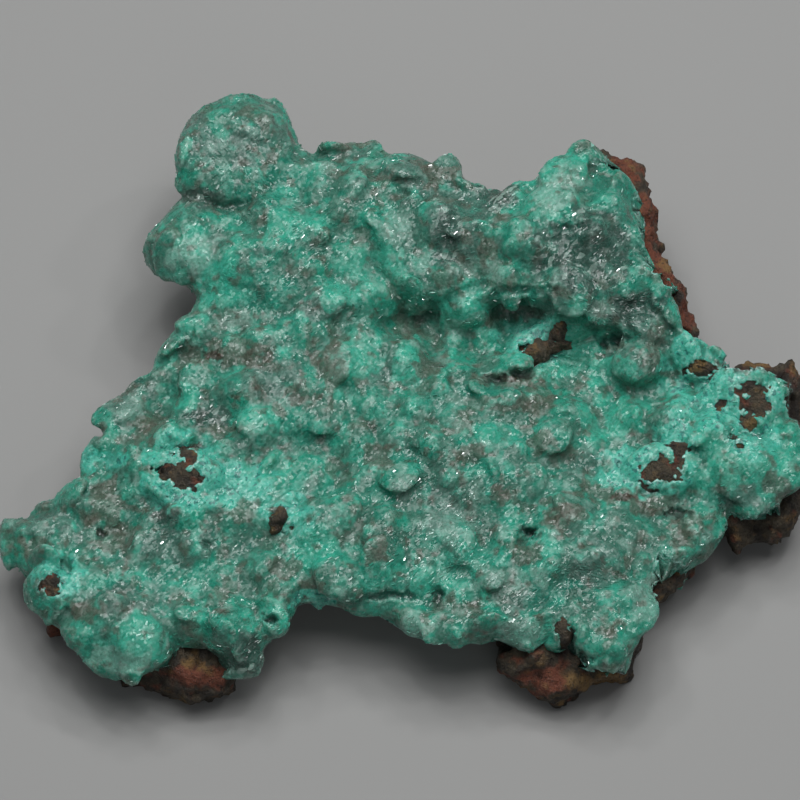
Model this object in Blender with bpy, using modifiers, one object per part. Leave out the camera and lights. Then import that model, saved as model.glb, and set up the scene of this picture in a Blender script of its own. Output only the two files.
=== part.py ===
"""Blue aragonite on limonite, a hand specimen about 81 mm wide, lying on its matrix.

A knobbly blue-green crust has grown over a brown, rough iron-oxide plate. The crust is one
solid, fused from its rim lobes, its thick upper mass, two knobs and the small domes all over
it. The plate carries it, stands on two front feet and a flat back, and shows through the
crust in small windows, at the upper right rim and under the right arm.

Frame: +Z up, +X to the right, +Y away from the front edge, origin on the floor under the
middle of the bounding box.
"""
import math
import random

import bmesh
import bpy
from mathutils import Matrix, Vector
from mathutils.bvhtree import BVHTree

# Driving dimensions, in millimetres
MM = 0.001
VIEW_ELEVATION = math.radians(60)
VIEW_DISTANCE = 450.0
CRUST_UNDERSIDE = 5.0
CRUST_FIELD = 8.6
UPPER_MASS_TOP = 12.6
MATRIX_TOP = 6.2
ARM_UNDERSIDE = 2.4
GAP = 0.75

# Mesh sizes
VOXEL = 0.5 * MM
MATRIX_VOXEL = 0.7 * MM
CRUST_TRIANGLES = 6800
MATRIX_TRIANGLES = 2700

# Most places below are given as the specimen is looked down on, from VIEW_ELEVATION over its
# front edge and VIEW_DISTANCE off: mm right, mm up in the view, and height over the floor

# Rim of the crust, clockwise from the left tip, with the radius of the lobe there
CRUST_RIM = [
    (-40.4, -13.6, 6.4, 1.9), (-38.2, -12.0, 6.8, 1.9), (-35.2, -11.0, 7.0, 2.0), (-33.2, -8.9, 7.2, 1.9),
    (-32.2, -6.2, 7.6, 1.8), (-30.4, -4.0, 8.0, 2.0), (-29.5, -0.9, 8.0, 2.0), (-27.6, 1.4, 8.2, 2.1),
    (-24.8, 2.8, 8.4, 1.8), (-24.7, 5.4, 8.8, 1.9), (-22.2, 7.7, 9.2, 2.2), (-20.3, 10.0, 9.4, 1.8),
    (-20.0, 20.0, 10.5, 2.6), (-9.4, 23.6, 11.5, 2.4), (-5.6, 26.3, 12.0, 2.2), (-2.0, 24.6, 12.2, 2.2),
    (1.3, 24.7, 12.2, 2.2), (4.6, 23.0, 12.2, 2.0), (8.4, 21.7, 12.4, 2.0), (12.0, 21.2, 12.8, 2.2),
    (14.5, 22.5, 13.4, 2.0), (17.4, 25.9, 13.6, 1.9), (19.2, 24.4, 13.4, 2.0), (22.2, 22.5, 12.6, 2.2),
    (23.0, 19.8, 12.4, 2.0), (23.0, 17.4, 12.4, 2.0), (23.8, 14.2, 12.4, 2.0), (25.4, 11.6, 12.2, 2.0),
    (27.4, 9.2, 11.6, 2.0), (28.6, 7.0, 10.6, 2.0), (31.0, 5.6, 9.2, 2.0), (34.2, 3.2, 8.8, 2.0),
    (37.2, 2.4, 8.6, 1.8), (39.6, 0.2, 8.4, 1.8), (40.4, -4.0, 8.2, 2.4), (40.0, -8.2, 7.6, 2.2),
    (38.2, -10.5, 7.0, 2.0), (35.4, -12.0, 6.6, 2.0), (32.4, -12.8, 6.4, 2.0), (31.6, -14.9, 6.2, 2.0),
    (29.2, -17.0, 6.0, 2.0), (27.2, -18.4, 6.0, 2.0), (26.2, -21.3, 5.8, 2.2), (24.9, -23.4, 5.8, 2.2),
    (23.2, -25.5, 5.8, 2.2), (21.2, -27.2, 5.8, 2.0), (17.4, -26.8, 6.2, 1.8), (14.0, -26.0, 6.4, 1.9),
    (10.5, -25.3, 6.6, 1.9), (6.6, -24.7, 6.8, 1.8), (3.0, -24.8, 6.8, 1.8), (0.4, -23.6, 6.8, 1.8),
    (-1.8, -22.0, 6.8, 1.8), (-4.4, -22.4, 6.8, 1.8), (-8.1, -21.2, 6.8, 1.8), (-10.9, -24.1, 6.2, 1.8),
    (-14.4, -26.7, 4.8, 1.7), (-15.8, -28.0, 4.6, 1.7), (-18.5, -26.6, 6.0, 2.0), (-21.5, -25.5, 6.4, 2.0),
    (-24.2, -26.7, 5.8, 1.9), (-26.0, -28.3, 4.6, 1.8), (-28.6, -28.0, 4.6, 1.9), (-30.6, -26.0, 4.8, 1.9),
    (-32.8, -24.0, 5.0, 1.9), (-36.0, -21.2, 5.2, 1.9), (-37.8, -18.8, 5.4, 1.8), (-39.8, -16.2, 5.8, 1.8),
]

# Rim of the thick upper mass, as seen, at the height of its top
UPPER_MASS = [
    (-20.5, 15.0), (-17.0, 20.0), (-9.6, 22.4), (-5.5, 24.4), (0.0, 23.0), (4.6, 21.6), (8.4, 19.8), (12.0, 19.6),
    (14.8, 21.2), (17.4, 23.8), (20.6, 22.2), (22.0, 18.0), (22.4, 14.0), (25.0, 10.8), (27.4, 8.2), (25.5, 6.9),
    (20.6, 7.4), (18.6, 8.6), (15.4, 8.6), (14.6, 11.0), (9.0, 11.6), (3.2, 11.4), (-2.0, 9.4), (-9.0, 8.6),
    (-15.0, 8.0), (-19.0, 9.4),
]

# Large rounded forms of the crust: mm right, mm up as seen and height of the middle, then half
# sizes in X, Y and Z
KNOBS = [
    (-16.3, 24.2, 10.4, 6.5, 5.8, 5.8), (-20.1, 15.1, 9.6, 5.7, 4.7, 4.5), (-13.0, 20.0, 9.6, 6.0, 5.5, 4.4),
]
SWELLS = [
    (-12.0, 14.0, 11.0, 7.5, 7.0, 4.0), (-3.5, 18.5, 11.5, 8.5, 7.0, 3.8), (4.5, 16.0, 12.0, 7.5, 6.5, 3.4),
    (12.0, 15.5, 12.4, 7.0, 6.0, 4.0), (18.0, 16.5, 12.6, 6.5, 7.0, 4.2), (20.5, 10.5, 11.6, 7.0, 4.0, 3.6),
    (6.2, 9.4, 10.4, 2.8, 2.4, 2.2), (23.4, 4.2, 9.2, 2.5, 2.5, 2.4), (0.8, 3.2, 9.4, 2.2, 2.4, 2.6),
    (-10.0, 2.0, 8.0, 13.0, 10.0, 4.2), (6.0, -4.0, 8.0, 14.0, 10.0, 3.6), (-20.0, -9.0, 7.0, 12.0, 9.0, 3.8),
    (-2.0, -14.0, 7.2, 12.0, 8.0, 3.6), (16.0, -14.0, 7.0, 10.0, 9.0, 3.4), (29.0, -5.0, 7.0, 9.5, 7.0, 3.6),
    (34.5, -6.5, 7.0, 4.8, 4.6, 3.4), (-35.5, -13.6, 5.6, 4.4, 4.0, 2.6), (20.0, -22.0, 6.0, 6.0, 5.0, 3.2),
    (-27.0, -22.0, 5.6, 7.0, 7.0, 3.4),
]

# Plate of limonite: rim in plan at the floor, clockwise from the left end
MATRIX_PLAN = [
    (-35.6, -24.0), (-35.0, -18.0), (-30.6, -13.0), (-27.0, -6.0), (-23.0, 2.0), (-17.0, 8.0), (-10.0, 13.0),
    (-4.0, 17.0), (4.0, 15.5), (12.0, 14.5), (18.0, 19.0), (23.0, 18.6), (25.0, 13.0), (27.0, 6.0), (29.5, 1.0),
    (31.5, -6.0), (29.5, -16.0), (26.0, -22.0), (22.4, -31.0), (17.8, -33.2), (14.2, -33.0), (11.4, -29.0),
    (5.0, -24.0), (-4.0, -22.0), (-11.6, -24.0), (-16.0, -31.4), (-20.0, -32.8), (-25.0, -32.6), (-29.6, -29.5),
]
ARM_PLAN = [
    (27.0, 2.0), (33.0, -1.0), (38.6, -1.6), (40.3, -4.0), (39.4, -13.4), (36.6, -16.2), (32.6, -16.6), (28.0, -15.4),
]

# Rocky forms of the plate that show: mm right, mm up as seen and height of the middle, then half sizes
RIM_ROCKS = [
    (20.6, 23.1, 9.6, 2.2, 1.8, 3.8), (22.6, 21.8, 9.8, 2.0, 2.0, 3.8), (23.8, 18.4, 9.8, 2.0, 2.6, 3.6),
    (24.3, 15.0, 9.6, 1.9, 2.4, 3.6), (25.3, 12.2, 9.2, 1.9, 2.2, 3.4), (26.9, 9.6, 8.6, 1.9, 2.2, 3.2),
    (28.3, 7.2, 7.8, 1.8, 2.0, 2.8), (38.6, 2.0, 6.8, 2.4, 1.8, 2.4), (35.8, 2.0, 6.6, 2.8, 1.8, 2.4),
    (38.4, -10.2, 4.6, 1.9, 2.2, 2.2), (35.4, -11.8, 4.2, 2.6, 1.8, 1.9), (33.4, -13.2, 3.2, 1.1, 1.4, 1.6),
]
FEET = [
    (-22.4, -26.2, 3.0, 3.4, 2.6, 4.2), (-18.6, -26.6, 2.8, 3.0, 2.4, 4.0), (13.8, -26.6, 3.2, 2.6, 2.6, 4.4),
    (16.6, -27.6, 2.6, 3.4, 2.6, 3.6), (20.6, -26.8, 2.4, 2.4, 2.4, 3.4), (-34.2, -21.6, 3.0, 2.0, 2.2, 2.6),
]

# Windows where the plate shows through the crust: mm right, mm up as seen, height, half sizes
WINDOWS = [
    (-22.4, -7.7, 10.0, 2.3, 1.8), (-21.2, -5.2, 10.2, 1.1, 1.0), (-11.8, -12.0, 10.4, 1.3, 1.2),
    (26.2, -6.8, 9.8, 2.0, 1.8), (27.8, -5.0, 10.0, 0.9, 0.9), (34.8, -0.2, 9.4, 2.0, 2.0),
    (30.2, 3.2, 9.4, 1.6, 1.1), (35.0, -2.4, 9.8, 0.8, 1.1), (12.7, 5.2, 11.0, 1.2, 1.2),
    (16.6, 6.8, 10.6, 1.4, 1.0), (-34.8, -18.6, 7.2, 1.2, 1.3),
]
WINDOW_RIM = 0.8
WINDOW_RISE = 1.7

# Pits and grooves in the crust: mm right, mm up as seen, height of the middle and half sizes
PITS = [
    (21.8, 6.0, 11.4, 1.7, 1.2, 1.5), (11.0, 2.1, 11.6, 2.9, 1.0, 1.6), (12.8, -13.4, 10.4, 1.3, 1.0, 2.2),
    (16.2, -22.8, 8.4, 0.9, 1.3, 2.0), (17.2, -25.6, 7.2, 0.7, 1.6, 1.6), (0.8, -19.8, 9.6, 3.4, 0.8, 1.2),
    (3.6, -19.5, 9.4, 0.9, 1.1, 1.8), (-13.5, -22.4, 7.8, 1.1, 1.0, 1.8), (-9.6, -20.2, 7.6, 1.1, 1.1, 2.2),
    (-19.4, -14.4, 10.2, 0.8, 0.7, 1.2), (-29.9, -13.6, 8.6, 0.5, 0.7, 1.2),
]

# Small domes all over the crust
DOME_SEED = 11
DOME_TRIES = 3000
DOME_RADII = (1.2, 2.6)
DOME_SPACING = 1.45
DOME_SINK = 0.3
DOME_LEVEL = 0.45


def seen(right, up, height):
    """Place at a height over the floor that shows at right, up from the middle of the view."""
    eye = Vector((0.0, -math.cos(VIEW_ELEVATION), math.sin(VIEW_ELEVATION))) * VIEW_DISTANCE
    shown = Vector((right, up * math.sin(VIEW_ELEVATION), up * math.cos(VIEW_ELEVATION)))
    along = (height - eye.z) / (shown.z - eye.z)
    return eye.lerp(shown, along) * MM


def make_material(name, colour, roughness):
    """Plain Principled material."""
    material = bpy.data.materials.new(name)
    material.use_nodes = True
    shader = material.node_tree.nodes["Principled BSDF"]
    shader.inputs["Base Color"].default_value = (*colour, 1.0)
    shader.inputs["Roughness"].default_value = roughness
    return material


def make_collection(name):
    """New collection under the scene's own."""
    collection = bpy.data.collections.new(name)
    bpy.context.scene.collection.children.link(collection)
    return collection


def evaluated_mesh(thing):
    """Copy of an object's mesh with its modifiers applied."""
    graph = bpy.context.evaluated_depsgraph_get()
    return bpy.data.meshes.new_from_object(thing.evaluated_get(graph))


def outline_slab(name, points, low, high, collection):
    """Flat outline in plan, filled and extruded between two heights."""
    curve = bpy.data.curves.new(name, "CURVE")
    curve.dimensions = "2D"
    curve.fill_mode = "BOTH"
    curve.extrude = (high - low) / 2 * MM
    spline = curve.splines.new("POLY")
    spline.points.add(len(points) - 1)
    for point, (right, away) in zip(spline.points, points):
        point.co = (right, away, 0.0, 1.0)
    spline.use_cyclic_u = True
    slab = bpy.data.objects.new(name, curve)
    slab.location.z = (low + high) / 2 * MM
    collection.objects.link(slab)
    return slab


def add_ellipsoid(shell, middle, half_sizes, turn=0.0):
    """Icosphere stretched to its half sizes, added to a bmesh."""
    size = Matrix.Diagonal((*[half * MM for half in half_sizes], 1.0))
    place = Matrix.Translation(middle) @ Matrix.Rotation(turn, 4, "Z") @ size
    bmesh.ops.create_icosphere(shell, subdivisions=3, radius=1.0, matrix=place)


def add_mesh_of(shell, thing):
    """Adds an object's evaluated mesh to a bmesh, in the world's place, and drops the object."""
    mesh = evaluated_mesh(thing)
    mesh.transform(thing.matrix_world)
    shell.from_mesh(mesh)
    bpy.data.meshes.remove(mesh)
    bpy.data.objects.remove(thing)


def fused(name, shell, voxel, collection, smoothing):
    """One skin around everything in a bmesh, from a voxel Remesh and a Smooth modifier."""
    mesh = bpy.data.meshes.new(name)
    shell.to_mesh(mesh)
    shell.free()
    body = bpy.data.objects.new(name, mesh)
    collection.objects.link(body)
    skin = body.modifiers.new("one skin", "REMESH")
    skin.mode = "VOXEL"
    skin.voxel_size = voxel
    if smoothing:
        soft = body.modifiers.new("soften", "SMOOTH")
        soft.iterations = smoothing
    bpy.context.view_layer.update()
    body.data = evaluated_mesh(body)
    body.modifiers.clear()
    return body


def inset_rim(rim):
    """Middles of the rim lobes: each rim point moved in by its lobe's radius."""
    points = [seen(*row[:3]) for row in rim]
    middles = []
    for index, (_, _, _, radius) in enumerate(rim):
        before = points[index - 1]
        after = points[(index + 1) % len(points)]
        along = (after - before).to_2d().normalized()
        inward = Vector((along.y, -along.x, 0.0))
        middles.append(points[index] + inward * radius * MM)
    return middles


def scatter_domes(base):
    """Middles and radii of small domes that sit on the crust, set apart by their own size."""
    chance = random.Random(DOME_SEED)
    surface = BVHTree.FromPolygons([vertex.co.copy() for vertex in base.data.vertices],
                                   [tuple(face.vertices) for face in base.data.polygons])
    spots = [vertex.co for vertex in base.data.vertices]
    low = [min(spot[axis] for spot in spots) for axis in range(2)]
    high = [max(spot[axis] for spot in spots) for axis in range(2)]
    domes = []
    for _ in range(DOME_TRIES):
        place = Vector((chance.uniform(low[0], high[0]), chance.uniform(low[1], high[1]), 0.1))
        radius = chance.uniform(*DOME_RADII) * MM
        hit, normal, _, _ = surface.ray_cast(place, Vector((0.0, 0.0, -1.0)))
        if hit is None or normal.z < DOME_LEVEL:
            continue
        middle = hit - normal * radius * DOME_SINK
        if all((middle - other).length > (radius + reach) / 2 * DOME_SPACING for other, reach in domes):
            domes.append((middle, radius))
    return domes


def build_matrix(collection, tools):
    """Rough limonite plate with its rim rocks, feet and windows, cut flat at the floor."""
    shell = bmesh.new()
    plan = [Vector(point) * MM for point in MATRIX_PLAN]
    arm = [Vector(point) * MM for point in ARM_PLAN]
    add_mesh_of(shell, outline_slab("plate slab", plan, -2.0, MATRIX_TOP, tools))
    add_mesh_of(shell, outline_slab("arm slab", arm, ARM_UNDERSIDE, MATRIX_TOP, tools))
    for right, up, height, *half_sizes in RIM_ROCKS + FEET:
        add_ellipsoid(shell, seen(right, up, height), half_sizes)
    for right, up, height, wide, deep in WINDOWS:
        top = seen(right, up, height)
        root = Vector((top.x, top.y, MATRIX_TOP * MM))
        middle = (top + root) / 2
        tall = (height - MATRIX_TOP) / 2 + WINDOW_RISE
        add_ellipsoid(shell, middle, (wide + WINDOW_RIM, deep + WINDOW_RIM, tall))
    body = fused("limonite_matrix", shell, MATRIX_VOXEL, collection, 3)

    lumps = bpy.data.textures.new("rock lumps", "CLOUDS")
    lumps.noise_scale = 5.0 * MM
    grit = bpy.data.textures.new("rock grit", "STUCCI")
    grit.noise_scale = 1.6 * MM
    for texture, height in ((lumps, 3.0), (grit, 1.6)):
        rough = body.modifiers.new(texture.name, "DISPLACE")
        rough.texture = texture
        rough.texture_coords = "LOCAL"
        rough.strength = height * MM
        rough.mid_level = 0.62
    skin = body.modifiers.new("one skin", "REMESH")
    skin.mode = "VOXEL"
    skin.voxel_size = MATRIX_VOXEL
    bpy.context.view_layer.update()
    body.data = evaluated_mesh(body)
    body.modifiers.clear()
    return body


def cut_flat(body):
    """Cuts everything under the floor off and closes the cut."""
    shell = bmesh.new()
    shell.from_mesh(body.data)
    everything = shell.verts[:] + shell.edges[:] + shell.faces[:]
    cut = bmesh.ops.bisect_plane(shell, geom=everything, plane_co=(0, 0, 0), plane_no=(0, 0, -1),
                                 clear_outer=True)
    rim = [item for item in cut["geom_cut"] if isinstance(item, bmesh.types.BMEdge)]
    bmesh.ops.holes_fill(shell, edges=rim)
    bmesh.ops.triangulate(shell, faces=shell.faces[:])
    shell.to_mesh(body.data)
    shell.free()


def thin_out(body, triangles):
    """Decimates a body to about a number of triangles."""
    body.data.calc_loop_triangles()
    fewer = body.modifiers.new("fewer triangles", "DECIMATE")
    fewer.ratio = min(1.0, triangles / len(body.data.loop_triangles))
    fewer.use_collapse_triangulate = True
    bpy.context.view_layer.update()
    body.data = evaluated_mesh(body)
    body.modifiers.clear()


def build_crust(collection, tools):
    """Crust fused from rim lobes, slabs, large forms and small domes."""
    rim = inset_rim(CRUST_RIM)
    shell = bmesh.new()
    field = [point.to_2d() for point in rim]
    mass = [seen(right, up, UPPER_MASS_TOP).to_2d() for right, up in UPPER_MASS]
    add_mesh_of(shell, outline_slab("field slab", field, CRUST_UNDERSIDE, CRUST_FIELD, tools))
    add_mesh_of(shell, outline_slab("mass slab", mass, CRUST_UNDERSIDE, UPPER_MASS_TOP, tools))
    for middle, (_, _, _, radius) in zip(rim, CRUST_RIM):
        add_ellipsoid(shell, middle, (radius, radius, radius))
    for right, up, height, *half_sizes in KNOBS + SWELLS:
        add_ellipsoid(shell, seen(right, up, height), half_sizes)
    base = fused("crust base", shell, VOXEL * 1.4, tools, 4)

    shell = bmesh.new()
    shell.from_mesh(base.data)
    for middle, radius in scatter_domes(base):
        add_ellipsoid(shell, middle, (radius / MM, radius / MM, radius / MM))
    bpy.data.objects.remove(base)
    return fused("aragonite_crust", shell, VOXEL, collection, 1)


def cut_crust(crust, matrix, tools):
    """Takes the plate, grown by the gap, and the pits out of the crust."""
    grown = matrix.copy()
    grown.data = matrix.data.copy()
    grown.name = "grown plate"
    tools.objects.link(grown)
    thicker = grown.modifiers.new("gap", "DISPLACE")
    thicker.strength = GAP * MM
    thicker.mid_level = 0.0
    skin = grown.modifiers.new("one skin", "REMESH")
    skin.mode = "VOXEL"
    skin.voxel_size = MATRIX_VOXEL

    shell = bmesh.new()
    for right, up, height, *half_sizes in PITS:
        add_ellipsoid(shell, seen(right, up, height), half_sizes)
    pits = fused("pit cutter", shell, VOXEL, tools, 0)
    for cutter in (grown, pits):
        cutter.hide_render = True
        cutter.display_type = "WIRE"
        cut = crust.modifiers.new(cutter.name, "BOOLEAN")
        cut.operation = "DIFFERENCE"
        cut.object = cutter
    skin = crust.modifiers.new("one skin", "REMESH")
    skin.mode = "VOXEL"
    skin.voxel_size = VOXEL
    bpy.context.view_layer.update()
    crust.data = evaluated_mesh(crust)
    crust.modifiers.clear()
    for cutter in (grown, pits):
        bpy.data.objects.remove(cutter)


def keep_largest(body):
    """Drops crumbs that the cuts left loose."""
    shell = bmesh.new()
    shell.from_mesh(body.data)
    groups = []
    unseen = set(shell.verts)
    while unseen:
        group = [unseen.pop()]
        for vertex in group:
            for edge in vertex.link_edges:
                other = edge.other_vert(vertex)
                if other in unseen:
                    unseen.remove(other)
                    group.append(other)
        groups.append(group)
    groups.sort(key=len)
    for group in groups[:-1]:
        bmesh.ops.delete(shell, geom=group, context="VERTS")
    shell.to_mesh(body.data)
    shell.free()


def stand_at_origin(bodies):
    """Puts the middle of the shared bounding box over the origin, on the floor."""
    corners = [vertex.co for body in bodies for vertex in body.data.vertices]
    low = Vector([min(corner[axis] for corner in corners) for axis in range(3)])
    high = Vector([max(corner[axis] for corner in corners) for axis in range(3)])
    middle = (low + high) / 2
    for body in bodies:
        body.data.transform(Matrix.Translation((-middle.x, -middle.y, -low.z)))
    print("Moved by mm", [round(-value / MM, 2) for value in (middle.x, middle.y, low.z)])


def main():
    for thing in list(bpy.data.objects):
        bpy.data.objects.remove(thing)
    specimen = make_collection("blue aragonite on limonite")
    tools = make_collection("tools")
    matrix = build_matrix(specimen, tools)
    crust = build_crust(specimen, tools)
    cut_flat(matrix)
    thin_out(matrix, MATRIX_TRIANGLES)
    cut_crust(crust, matrix, tools)
    keep_largest(crust)
    thin_out(crust, CRUST_TRIANGLES)
    stand_at_origin([matrix, crust])
    matrix.data.materials.append(make_material("limonite", (0.075, 0.036, 0.022), 0.85))
    crust.data.materials.append(make_material("aragonite", (0.085, 0.26, 0.2), 0.3))
    for body in (matrix, crust):
        body.data.shade_smooth()
        body.data.set_sharp_from_angle(angle=math.radians(40))


main()
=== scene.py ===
# %% [markdown]
# # Blue aragonite on limonite
# A hand specimen about 80 mm wide. Waves of translucent, blue-green aragonite grew over a plate
# of rusty limonite and fused into one knobbly crust. This lesson dresses the two solids of the
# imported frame: a rough rock first, then the crust, its colours, and the small crystals on it.
# Everything stays in metres in the frame's own space, so nothing has to be fitted afterwards.

# %% Load the frame
import math

import bmesh
import bpy
import numpy as np
from mathutils import Matrix, Vector, noise
from mathutils.bvhtree import BVHTree


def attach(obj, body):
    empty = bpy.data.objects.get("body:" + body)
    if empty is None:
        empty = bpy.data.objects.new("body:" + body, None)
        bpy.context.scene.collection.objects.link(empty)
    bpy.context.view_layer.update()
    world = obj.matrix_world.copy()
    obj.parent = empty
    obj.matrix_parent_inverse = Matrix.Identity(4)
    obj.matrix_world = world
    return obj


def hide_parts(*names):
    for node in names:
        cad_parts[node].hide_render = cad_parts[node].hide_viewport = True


MM = 0.001
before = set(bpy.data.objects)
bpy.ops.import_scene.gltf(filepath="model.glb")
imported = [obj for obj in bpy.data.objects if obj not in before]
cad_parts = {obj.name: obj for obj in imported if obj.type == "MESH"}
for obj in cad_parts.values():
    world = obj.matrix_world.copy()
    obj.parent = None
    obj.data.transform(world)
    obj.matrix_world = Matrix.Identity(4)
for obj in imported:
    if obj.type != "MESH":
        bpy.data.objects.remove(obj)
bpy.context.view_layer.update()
rock_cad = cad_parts["limonite_matrix"]
crust_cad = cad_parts["aragonite_crust"]

# %% [markdown]
# ## The view
# The stone is looked down on at 60 degrees from its front edge, through a long lens, so it
# keeps nearly parallel lines. The same eye point also serves as a ruler: colours are placed by
# how far right and up they show in this view, in millimetres at the stone's own size.

# %% Camera
VIEW_ELEVATION = math.radians(60)
VIEW_DISTANCE = 450 * MM
VIEW_MIDDLE = Vector((-0.45, 3.66, 0.04)) * MM
VIEW_WIDTH = 80 * MM
SENSOR = 36.0

view_back = Vector((0.0, -math.cos(VIEW_ELEVATION), math.sin(VIEW_ELEVATION)))
view_up = Vector((0.0, math.sin(VIEW_ELEVATION), math.cos(VIEW_ELEVATION)))
eye = VIEW_MIDDLE + view_back * VIEW_DISTANCE

camera_data = bpy.data.cameras.new("camera")
camera_data.sensor_width = SENSOR
camera_data.lens = SENSOR * VIEW_DISTANCE / VIEW_WIDTH
camera_data.clip_start = 0.01
camera = bpy.data.objects.new("camera", camera_data)
camera.location = eye
camera.rotation_euler = view_back.to_track_quat("Z", "Y").to_euler()
bpy.context.scene.collection.objects.link(camera)
bpy.context.scene.camera = camera
print("lens", round(camera_data.lens, 1))


# %% [markdown]
# ## Small tools
# Short functions that the later steps share. They make objects, read and write what a mesh
# stores at its points, say where points show in the view, and spread noise over them.

# %% Mesh helpers
def add_object(name, mesh):
    """Object in the scene's own collection."""
    made = bpy.data.objects.new(name, mesh)
    bpy.context.scene.collection.objects.link(made)
    return made


def bake_modifiers(thing):
    """Puts the evaluated mesh in place of the object's own and drops the modifiers."""
    bpy.context.view_layer.update()
    graph = bpy.context.evaluated_depsgraph_get()
    mesh = bpy.data.meshes.new_from_object(thing.evaluated_get(graph))
    thing.modifiers.clear()
    thing.data = mesh
    return mesh


def welded_copy(name, source):
    """Copy of a CAD node with its loose triangles joined."""
    shell = bmesh.new()
    shell.from_mesh(source.data)
    bmesh.ops.remove_doubles(shell, verts=shell.verts, dist=1e-6)
    mesh = bpy.data.meshes.new(name)
    shell.to_mesh(mesh)
    shell.free()
    return add_object(name, mesh)


def read_rows(mesh, name):
    """Three numbers a vertex as rows: co is where it lies, normal is the way it faces."""
    flat = np.empty(len(mesh.vertices) * 3)
    mesh.vertices.foreach_get(name, flat)
    return flat.reshape(-1, 3)


def write_points(mesh, points):
    """Puts rows back as vertex places."""
    mesh.vertices.foreach_set("co", np.asarray(points, float).ravel())
    mesh.update()


def tree_of(mesh):
    """Search tree of a mesh's faces."""
    places = [vertex.co.copy() for vertex in mesh.vertices]
    return BVHTree.FromPolygons(places, [tuple(face.vertices) for face in mesh.polygons])


# %% View helpers
def seen_places(points):
    """How far right and up each point shows in the view, in mm."""
    rays = points - np.array(eye)
    depth = rays @ -np.array(view_back)
    shown = rays * (VIEW_DISTANCE / depth)[:, None] + np.array(view_back) * VIEW_DISTANCE
    return np.stack([shown[:, 0], shown @ np.array(view_up)], axis=1) / MM


def look_over(mesh):
    """Places, normals and places in the view of a mesh's points."""
    points = read_rows(mesh, "co")
    return points, read_rows(mesh, "normal"), seen_places(points)


def seen_ray(right, up):
    """Direction from the eye through a place in the view."""
    aim = VIEW_MIDDLE + Vector((right, 0, 0)) * MM + view_up * up * MM
    return (aim - eye).normalized()


def smoothstep(low, high, values):
    """Soft step from 0 at low to 1 at high."""
    share = np.clip((values - low) / (high - low), 0, 1)
    return share * share * (3 - 2 * share)


def reach_of(shown, right, up, wide, tall):
    """Distance of shown places from the middle of an ellipse, 1 at its edge."""
    return np.hypot((shown[:, 0] - right) / wide, (shown[:, 1] - up) / tall)


def patch_weights(shown, patches, outer=1.5, inner=0.3):
    """1 in patches, or a patch's own fifth number, fading to 0 from the inner reach to the outer."""
    weights = np.zeros(len(shown))
    for *ellipse, strength in [(*patch, 1.0)[:5] for patch in patches]:
        weights = np.maximum(weights, strength * smoothstep(outer, inner, reach_of(shown, *ellipse)))
    return weights


# %% Field helpers
def noise_field(points, size, octaves=2, shift=0.0):
    """Noise at each point, about -0.6 to 0.6, for lumps of a size in mm."""
    places = [Vector(point) / (size * MM) + Vector((shift, 0, 0)) for point in points]
    total = np.array([noise.noise(place) for place in places])
    for octave in range(1, octaves):
        total += np.array([noise.noise(place * 2 ** octave) for place in places]) * 0.5 ** octave
    return total


def nudge(mesh, nudges):
    """Moves small parts of a mesh as seen: mm right, mm up, reach, then mm to move each way."""
    points, _, shown = look_over(mesh)
    for right, up, reach, move_right, move_up in nudges:
        share = smoothstep(1.0, 0.1, reach_of(shown, right, up, reach, reach))
        points[:, 0] += share * move_right * MM
        points[:, 1] += share * move_up * MM
    write_points(mesh, points)


def neighbour_mean(points, edges, count):
    """Mean of each vertex's neighbours."""
    total = np.zeros((count, points.shape[1]))
    for column in range(points.shape[1]):
        for here, there in ((0, 1), (1, 0)):
            total[:, column] += np.bincount(edges[:, here], points[edges[:, there], column], count)
    shares = np.bincount(edges.ravel(), minlength=count)
    return total / np.maximum(shares, 1)[:, None]


def read_edges(mesh):
    """Vertex pairs of the edges."""
    flat = np.empty(len(mesh.edges) * 2, dtype=np.int64)
    mesh.edges.foreach_get("vertices", flat)
    return flat.reshape(-1, 2)


def write_attribute(mesh, name, values):
    """Stores one number a vertex under a name that a material can read."""
    layer = mesh.attributes.new(name, "FLOAT", "POINT")
    layer.data.foreach_set("value", np.asarray(values, np.float32))


def read_attribute(mesh, name):
    """One stored number a vertex."""
    values = np.empty(len(mesh.vertices), np.float32)
    mesh.attributes[name].data.foreach_get("value", values)
    return values.astype(float)


def remesh(thing, voxel, smoothing=0):
    """One even skin round everything in an object."""
    skin = thing.modifiers.new("one skin", "REMESH")
    skin.mode = "VOXEL"
    skin.voxel_size = voxel
    if smoothing:
        soft = thing.modifiers.new("soften", "SMOOTH")
        soft.iterations = smoothing
    return bake_modifiers(thing)


# %% [markdown]
# ## Node helpers
# A geometry-node tree and a shader group are both built the same way: sockets first, then
# nodes, then links. The first helpers fill a node's inputs and add a node in one call, where a
# value may be a number or another node's output. The rest add the nodes that come up often.

# %% Node helpers
def fill(tree, node, inputs):
    """Sets or links a node's inputs by name or index."""
    for key, value in inputs.items():
        if isinstance(value, bpy.types.NodeSocket):
            tree.links.new(value, node.inputs[key])
        else:
            node.inputs[key].default_value = value


def put(tree, kind, settings=None, inputs=None):
    """Adds a node, sets its properties and fills its inputs."""
    node = tree.nodes.new(kind)
    for key, value in (settings or {}).items():
        setattr(node, key, value)
    fill(tree, node, inputs or {})
    return node


def maths(tree, operation, first, second, third=0.0, clamp=False):
    """One math node's output."""
    return put(tree, "ShaderNodeMath", {"operation": operation, "use_clamp": clamp},
               {0: first, 1: second, 2: third}).outputs[0]


def vectors(tree, operation, first, second):
    """One vector-math node's output. To scale, the second value is a number."""
    socket = "Scale" if operation == "SCALE" else 1
    node = put(tree, "ShaderNodeVectorMath", {"operation": operation}, {0: first, socket: second})
    return node.outputs[1 if operation == "DOT_PRODUCT" else 0]


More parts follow.
